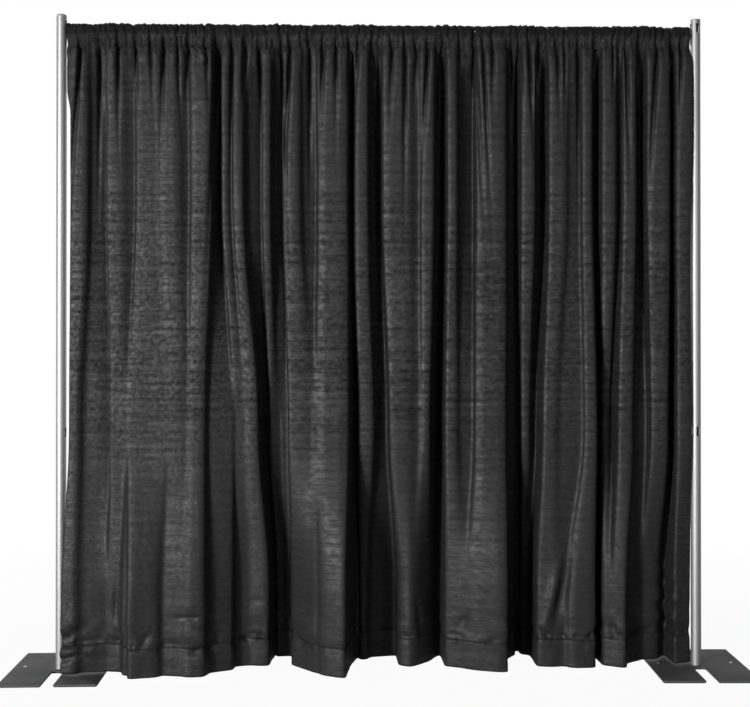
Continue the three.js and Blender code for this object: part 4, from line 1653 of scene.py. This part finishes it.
@dataclass
class Drape:
    """Three gathered panels of black crepe on the crossbar."""

    finishes: Finishes
    names: tuple[str, ...] = ("left", "middle", "right")
    cut_width: float = 1371.6 * MM
    cloth_thickness: float = 0.7 * MM
    ply_gap: float = 1.5 * MM
    hem_height: float = 101.6 * MM
    hem_clearance: float = 16 * MM
    hem_turn: float = 0.6 * MM
    hem_rows: int = 12
    pocket_rows: int = 36
    pocket_depth: float = 78 * MM
    pocket_room: float = 2.4 * MM
    left_gap: float = 12 * MM
    right_gap: float = 2.5 * MM
    pocket_gather: float = 10.5 * MM
    pocket_lines: Wrinkles = Wrinkles(1, (0.021, 0.055))
    pocket_tuck: float = 5.5 * MM
    tuck_line: Pair = (0, 0.15)
    pocket_start: Pair = (0, 0.17)
    pocket_top: Pair = (0.5, 0.13)
    pocket_end: Pair = (1, 0.10)
    heading_gather: float = 8.4 * MM
    heading_run: float = 70 * MM
    gather_pitch: float = 0.0085
    gather_wander: Wrinkles = Wrinkles(13 * MM, (0.045, 0.035))
    gather_swell: Wrinkles = Wrinkles(0.5, (0.050, 0.060))
    quiet_run: float = 40 * MM
    slack_run: float = 0.5
    sleeve_lap: float = 3.2 * MM
    waves: Wrinkles = Wrinkles(1.8 * MM, (0.060, 0.42))
    slants: Wrinkles = Wrinkles(0.9 * MM, (0.070, 0.13), 0.3)
    crinkles: Wrinkles = Wrinkles(0.35 * MM, (0.018, 0.022))
    puckers: Wrinkles = Wrinkles(8 * MM, (0.030, 1))
    pucker_zone: Pair = (0.014, 0.014)
    slouch: Wrinkles = Wrinkles(4 * MM, (0.09, 0.05), 0.4)
    slouch_zone: Pair = (0.05, 0.09)
    hem_groove: float = 1.6 * MM
    hem_stitches: Pair = (0, 0.004)
    pocket_groove: float = 2.2 * MM
    pocket_stitches: Pair = (0, 0.006)
    corner: Wrinkles = Wrinkles(12 * MM, (0.11, 0.042))
    corner_slant: float = 0.45
    corner_across: Pair = (0, 0.05)
    corner_up: Pair = (0.12, 0.13)
    curl: float = 6.5 * MM
    curl_pitch: float = 82 * MM
    curl_wander: Wrinkles = Wrinkles(1, (0.03, 0.040))
    curl_across: Pair = (0.970, 0.018)
    curl_up: Pair = (0.24, 0.13)
    thread_radius: float = 0.25 * MM
    stitch_length: float = 3.3 * MM
    stitch_pitch: float = 4.2 * MM
    thread_rise: float = 0.5 * MM
    seam_margins: Pair = (2.5 * MM, 1 * MM)
    columns: int = 250
    seed: int = 11

    def __post_init__(self) -> None:
        """Takes the drape's place from the stand."""
        self.left = node_centre("left_upright_tube").x + TUBE_RADIUS + self.left_gap
        self.right = node_centre("right_upright_tube").x - TUBE_RADIUS - self.right_gap
        self.width = self.right - self.left
        bar_height, radius = node_centre("crossbar_outer_tube").z, TUBE_RADIUS + self.pocket_room
        self.stitch_line = bar_height + radius - self.pocket_depth
        self.seam = self.hem_clearance + self.hem_height
        self.pocket = PocketPath(bar_height, self.stitch_line, radius)
        self.plan = FoldPlan(self.left, self.width, self.stitch_line)
        self.cloth = np.linspace(0, self.cut_width, self.columns)

    def share(self, x: np.ndarray) -> np.ndarray:
        """Places across the drape as shares of its width."""
        return (x - self.left) / self.width

    def quiet_ends(self, panel: int) -> np.ndarray:
        """Gives 1 for each column, easing to 0 at the ends that lap over another panel.

        Args:
            panel: The panel's number from the left.

        Returns:
            The factor of each column.
        """
        quiet = np.ones(self.columns)
        if panel > 0:
            quiet *= smooth_step(self.cloth / self.quiet_run)
        if panel < len(self.names) - 1:
            quiet *= smooth_step((self.cut_width - self.cloth) / self.quiet_run)
        return quiet

    def relief(self, x: np.ndarray, height: float, panel: int) -> np.ndarray:
        """How far the cloth stands out of its plan curve: gathers, wrinkles and puckers.

        Args:
            x: Places along the bar, one for each column.
            height: The height above the floor.
            panel: The panel's number.

        Returns:
            The distance to the front at each column.
        """
        cloth, seed = self.cloth, self.seed + 100 * panel
        below, above_hem = self.stitch_line - height, height - self.seam
        slack = 0.5 + 0.5 * float(smooth_step(below / self.slack_run))
        out = slack * self.waves.at(cloth, height, seed)
        out += self.slants.at(cloth, height, seed + 1) + self.crinkles.at(cloth, height, seed + 2)
        puckered = np.maximum(self.puckers.at(cloth, 0, seed + 3), 0)
        out -= puckered * bell(above_hem, *self.pucker_zone)
        out += self.slouch.at(cloth, height, seed + 4) * bell(above_hem, *self.slouch_zone)
        gathered = self.heading_gather * math.exp(-below / self.heading_run)
        pits_and_painted_shade = self.hem_groove * bell(above_hem, *self.hem_stitches)
        pits_and_painted_shade += self.pocket_groove * bell(below, *self.pocket_stitches)
        pits_and_painted_shade += sum(dent.push(self.share(x), height, self.width) for dent in DENTS)
        return gathered * (self.gathers(x, -below) - 0.5) + self.quiet_ends(panel) * out - pits_and_painted_shade

    def gathers(self, x: np.ndarray, up: float) -> np.ndarray:
        """Small gathers beside the stitch line, wandering along the cloth.

        Args:
            x: Places along the bar.
            up: Distance along the cloth from the stitch line, positive round the bar.

        Returns:
            The wave, 0 where two gathers meet.
        """
        share = self.share(x + self.gather_wander.at(x, up, self.seed + 5))
        wide, narrow = (gather_wave(share, self.gather_pitch * k) for k in (1.35, 0.7))
        return (0.65 * wide + 0.35 * narrow) * (0.8 + self.gather_swell.at(x, up, self.seed + 6))

    def edge_wrinkles(self, x: np.ndarray, height: float) -> np.ndarray:
        """Slanted wrinkles of the lower left corner and the curled selvage on the right.

        Args:
            x: Places along the bar.
            height: The height above the floor.

        Returns:
            The distance to the front at each place.
        """
        share = self.share(x)
        risen = height - self.corner_slant * (x - self.left)
        cornered = bell(share, *self.corner_across) * bell(height, *self.corner_up)
        slanted = self.corner.at(x, risen, self.seed + 7)
        curled = self.curl * bell(share, *self.curl_across) * bell(height, *self.curl_up)
        wave = math.sin(FULL_TURN * height / self.curl_pitch)
        return cornered * slanted + curled * (wave + self.curl_wander.at(x, height, self.seed + 8))

    def front_row(self, panel: int, height: float, behind: float) -> np.ndarray:
        """One row of the panel's front.

        Args:
            panel: The panel's number.
            height: The height above the floor.
            behind: How far behind the front ply the row lies.

        Returns:
            One point for each column.
        """
        curve = self.plan.curve(panel, height, self.columns)
        along = np.gradient(curve, axis=0)
        normal = np.stack([along[:, 1], -along[:, 0]], 1)
        normal /= np.linalg.norm(normal, axis=1, keepdims=True)
        quiet = self.quiet_ends(panel)[:, None]
        normal = quiet * normal + (1 - quiet) * np.array([0, -1])
        out = self.relief(curve[:, 0], height, panel) + self.edge_wrinkles(curve[:, 0], height)
        moved = curve + normal * (out - behind)[:, None]
        return np.concatenate([moved, np.full((self.columns, 1), height)], 1)

    def rows(self, panel: int) -> tuple[np.ndarray, np.ndarray]:
        """Points of one panel, row by row: hem turned up behind, front, pocket over the bar.

        Args:
            panel: The panel's number.

        Returns:
            The points as rows by columns by three, and each row's distance along the cloth.
        """
        hem, seam, stitch = self.hem_clearance, self.seam, self.stitch_line
        turned = np.linspace(seam, hem + 2 * MM, self.hem_rows)
        front = np.concatenate([
            np.linspace(hem, seam - 0.012, 12),
            np.linspace(seam - 0.008, seam + 0.020, 12),
            np.linspace(seam + 0.026, seam + 0.120, 16),
            np.linspace(seam + 0.130, stitch - 0.13, 88),
            np.linspace(stitch - 0.12, stitch, 20),
        ])
        grid = [self.front_row(panel, float(height), self.ply_gap) for height in turned]
        grid.append(self.front_row(panel, hem, self.ply_gap / 2))
        grid[-1][:, 2] -= self.hem_turn
        grid += [self.front_row(panel, float(height), 0) for height in front]
        lengths = [*-turned, -hem, *(front - 2 * hem)]
        self.wrap_bar(grid, lengths, panel)
        return np.array(grid), np.array(lengths)

    def wrap_bar(self, grid: list[np.ndarray], lengths: list[float], panel: int) -> None:
        """Adds the pocket's rows: up the front, over the bar and down the back to the stitches.

        Args:
            grid: The panel's rows so far, to which the pocket's are added.
            lengths: The rows' distances along the cloth.
            panel: The panel's number.
        """
        x, stitched = grid[-1][:, 0], grid[-1][:, 1]
        seed, total = self.seed + 100 * panel + 5, self.pocket.total
        quiet = self.quiet_ends(panel)
        lapped = (1 - quiet) * (x > x.mean()) * (panel < len(self.names) - 1)
        for step in np.linspace(0, 1, self.pocket_rows)[1:]:
            y, z, out_y, out_z = self.pocket.point(total * step)
            start, end = bell(step, *self.pocket_start), bell(step, *self.pocket_end)
            lines = self.pocket_lines.at(x + 0.05 * step, 0.3 * step, seed)
            tucked = self.pocket_tuck * quiet * bell(lines, *self.tuck_line)
            taut = 1 - 0.5 * bell(step, *self.pocket_top)
            out = taut * self.pocket_gather * self.gathers(x, total * step) - tucked
            out = out * math.sin(math.pi * step) ** 0.5 + self.sleeve_lap * lapped
            held = start + end
            moved = (y + out_y * out) * (1 - held) + (stitched + y + self.ply_gap * end) * held
            grid.append(np.stack([x, moved, z + out_z * out * (1 - held)], 1))
            lengths.append(self.stitch_line + total * step)

    def panel_mesh(self, name: str, grid: np.ndarray, lengths: np.ndarray) -> Piece:
        """Joins a grid of points into a sheet with UVs in metres of cloth.

        Args:
            name: The panel's name.
            grid: Rows by columns by three.
            lengths: Each row's distance along the cloth.

        Returns:
            The panel's object.
        """
        rows, columns, _ = grid.shape
        corners = [r * columns + c for r in range(rows - 1) for c in range(columns - 1)]
        faces = [(i, i + 1, i + columns + 1, i + columns) for i in corners]
        panel = mesh_object(name, grid.reshape(-1, 3), faces, 180)
        uvs = np.stack([np.tile(self.cloth, rows), np.repeat(lengths, columns)], 1)
        layer = panel.data.uv_layers.new(name="cloth")
        loops = np.zeros(len(panel.data.loops), int)
        panel.data.loops.foreach_get("vertex_index", loops)
        layer.data.foreach_set("uv", uvs[loops].astype(np.float32).ravel())
        return panel

    def sew(self, tree: NodeTree, name: str, grid: np.ndarray) -> Piece:
        """Sews the pocket and hem seams of a panel, on both faces.

        Args:
            tree: The tree that sews along a path.
            name: The panel's name.
            grid: The panel's points.

        Returns:
            The threads, as one object.
        """
        heights = grid[:, :, 2].mean(1)
        fronts = range(self.hem_rows + 2, len(grid) - self.pocket_rows)
        hem_margin, pocket_margin = self.seam_margins
        threads = []
        for target in (self.seam - hem_margin, self.stitch_line - pocket_margin):
            row = min(fronts, key=lambda r: abs(heights[r] - target))
            normal = self.row_normals(grid, row)
            for rise in (self.thread_rise, -self.ply_gap - self.thread_rise):
                line = grid[row] + normal * rise
                edges = [(i, i + 1) for i in range(len(line) - 1)]
                path = mesh_object(f"{name}_seam_{len(threads)}", line, edges=edges)
                tree.run(
                    path,
                    Pitch=self.stitch_pitch,
                    Stitch_Length=self.stitch_length,
                    Thread_Radius=self.thread_radius,
                    Material=self.finishes.thread,
                )
                threads.append(path)
        sewn = join_meshes(f"{name}_seam_threads", threads)
        dress(sewn, self.finishes.thread)
        return sewn

    def row_normals(self, grid: np.ndarray, row: int) -> np.ndarray:
        """Unit normals of a row, pointing to the front."""
        normal = np.cross(np.gradient(grid[row], axis=0), grid[row + 1] - grid[row - 1])
        return normal / np.linalg.norm(normal, axis=1, keepdims=True)

    def build_panel(self, number: int, word: str, stitches: NodeTree) -> list[Piece]:
        """Makes, sews and hangs one panel.

        Args:
            number: The panel's number from the left.
            word: Its name.
            stitches: The tree that sews along a path.

        Returns:
            The panel and its threads.
        """
        grid, lengths = self.rows(number)
        panel = self.panel_mesh(f"{word}_panel", grid, lengths)
        solid = panel.modifiers.new("cloth_thickness", "SOLIDIFY")
        solid.thickness = self.cloth_thickness
        solid.offset = 0
        dress(apply_modifiers(panel), self.finishes.cloth)
        threads = self.sew(stitches, word, grid)
        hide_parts(f"{word}_drape_panel")
        for piece in (panel, threads):
            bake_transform(piece)
        return [panel, threads]

    def build(self, stitches: NodeTree) -> list[Piece]:
        """Makes the three panels.

        Args:
            stitches: The tree that sews along a path.

        Returns:
            The pieces made.
        """
        made: list[Piece] = []
        for number, word in enumerate(self.names):
            made += self.build_panel(number, word, stitches)
        return made


def join_meshes(name: str, parts: list[Piece]) -> Piece:
    """Joins plain mesh objects into one.

    Args:
        name: The joined object's name.
        parts: The objects, which are removed.

    Returns:
        The joined object.
    """
    points, faces, base = [], [], 0
    for part in parts:
        mesh = part.data
        places = np.zeros(len(mesh.vertices) * 3)
        mesh.vertices.foreach_get("co", places)
        points.append(places.reshape(-1, 3))
        faces += [tuple(base + v for v in polygon.vertices) for polygon in mesh.polygons]
        base += len(mesh.vertices)
        bpy.data.objects.remove(part)
    return mesh_object(name, np.concatenate(points), faces, 180)


@dataclass
class Studio:
    """Pale floor, soft lights and the camera at the photographed angle."""

    camera_place: Triple = (-0.1005, -4.0911, 1.2255)
    camera_yaw: float = math.radians(-1.13)
    camera_pitch: float = math.radians(0.28)
    focal_pixels: float = 1086.3
    image_width: int = 750
    image_height: int = 707
    principal_row: float = 337.5
    sensor: float = 36.0
    clip_end: float = 100
    floor_reach: float = 30
    floor_grey: Triple = (0.72, 0.72, 0.72)
    white: Triple = (1, 1, 1)
    ambient: float = 0.10

    def camera(self) -> None:
        """Sets the camera up."""
        data = bpy.data.cameras.new("photo_camera")
        data.sensor_width = self.sensor
        data.lens = self.focal_pixels / self.image_width * self.sensor
        data.shift_y = (self.principal_row - self.image_height / 2) / self.image_width
        data.clip_end = self.clip_end
        eye = bpy.data.objects.new("photo_camera", data)
        eye.location = self.camera_place
        eye.rotation_euler = (QUARTER_TURN + self.camera_pitch, 0, self.camera_yaw)
        bpy.context.scene.collection.objects.link(eye)
        bpy.context.scene.camera = eye

    def floor(self) -> None:
        """Lays the floor, which the camera sees as white."""
        r = self.floor_reach
        corners = np.array([(-r, -r, 0), (r, -r, 0), (r, r, 0), (-r, r, 0)])
        plane = mesh_object("studio_floor", corners, [(0, 1, 2, 3)])
        s = Shader("studio_floor")
        dress(plane, s.finish(Base_Color=self.floor_grey, Roughness=0.9, Specular_IOR_Level=0.1))
        place = s.node("ShaderNodeTexCoord").outputs["Object"]
        reach = s.node("ShaderNodeVectorMath", {"operation": "LENGTH"}, Vector=place)
        white = s.remap(reach.outputs["Value"], 1.6, 3.4, 0.95, 1.0)
        depth = s.node("ShaderNodeSeparateXYZ", Vector=place).outputs["Y"]
        share = s.times(s.white_rays(s.remap(depth, 0.2, 0.8)), white)
        glow = s.node("ShaderNodeEmission", Color=self.white, Strength=1.0)
        mix = s.node("ShaderNodeMixShader", Fac=share)
        s.fill(mix.inputs[1], s.surface.outputs["BSDF"])
        s.fill(mix.inputs[2], glow.outputs["Emission"])
        s.fill(s.output.inputs["Surface"], mix.outputs["Shader"])

    def world(self) -> None:
        """Gives the soft light from all round, with the white backdrop that is seen behind.

        The camera and glass see white all round. Gloss sees it behind the stand, where the
        backdrop is, and the dimmer room in front.
        """
        world = bpy.data.worlds.new("studio_world")
        bpy.context.scene.world = world
        world.use_nodes = True
        w = Graph(world.node_tree)
        w.tree.nodes.clear()
        direction = w.node("ShaderNodeTexCoord").outputs["Generated"]
        behind = w.node("ShaderNodeSeparateXYZ", Vector=direction).outputs["Y"]
        mix = w.node("ShaderNodeMixShader", Fac=w.white_rays(w.remap(behind, 0.05, 0.45)))
        for index, strength in ((1, self.ambient), (2, 1.0)):
            light = w.node("ShaderNodeBackground", Color=self.white, Strength=strength)
            w.fill(mix.inputs[index], light.outputs["Background"])
        w.node("ShaderNodeOutputWorld", Surface=mix.outputs["Shader"])

    def lamp(
        self, name: str, place: Triple, aim: Triple, size: Pair, power: float, spread: float = 180
    ) -> None:
        """Hangs one soft box.

        Args:
            name: The lamp's name.
            place: Where it hangs.
            aim: The point that it faces.
            size: Its width and height.
            power: Its power in watts.
            spread: How wide its grid lets the light out, in degrees.
        """
        data = bpy.data.lights.new(name, "AREA")
        data.shape = "RECTANGLE"
        data.size, data.size_y = size
        data.energy = power
        data.spread = math.radians(spread)
        lamp = bpy.data.objects.new(name, data)
        lamp.location = place
        lamp.rotation_euler = (Vector(aim) - Vector(place)).to_track_quat("-Z", "Y").to_euler()
        bpy.context.scene.collection.objects.link(lamp)

    def build(self) -> None:
        """Builds the stage, with its three soft boxes."""
        self.camera()
        self.floor()
        self.world()
        self.lamp("key_soft_box", (-6.3, -8.3, 2.0), (-0.1, 0, 1.12), (1.9, 1.6), 146, 60)
        self.lamp("fill_soft_box", (1.5, -3.6, 1.75), (0.45, 0, 1.75), (1.4, 1.4), 6.8, 90)
        self.lamp("back_soft_box", (-1.4, 3.4, 3.8), (-0.2, 0, 1.2), (3.0, 2.0), 52)
        bpy.context.scene.view_settings.view_transform = "Standard"


def report(pieces: list[Piece]) -> None:
    """Logs each piece with its size."""
    for piece in pieces:
        faces = len(piece.data.polygons)
        LOG.info("%s: %d faces, %s", piece.name, faces, [round(d, 4) for d in piece.dimensions])


def main() -> None:
    """Builds the backdrop, from the stage to the threads."""
    logging.basicConfig(level=logging.INFO, format="%(name)s %(message)s")
    Studio().build()
    finishes = Finishes()
    rivets, tubes, stitches = rivet_tree(), slotted_tube_tree(), stitch_tree()
    pieces: list[Piece] = []
    for side in Side:
        pieces += Base(side, finishes).build(rivets)
    pieces += Upright(Side.LEFT, CapStyle.DOMED, finishes, slots_per_level=2).build(tubes)
    pieces += Upright(Side.RIGHT, CapStyle.FLAT, finishes, slots_per_level=4).build(tubes)
    Crossbar(finishes).dress()
    pieces += Drape(finishes).build(stitches)
    report(pieces)


if __name__ == "__main__":
    main()
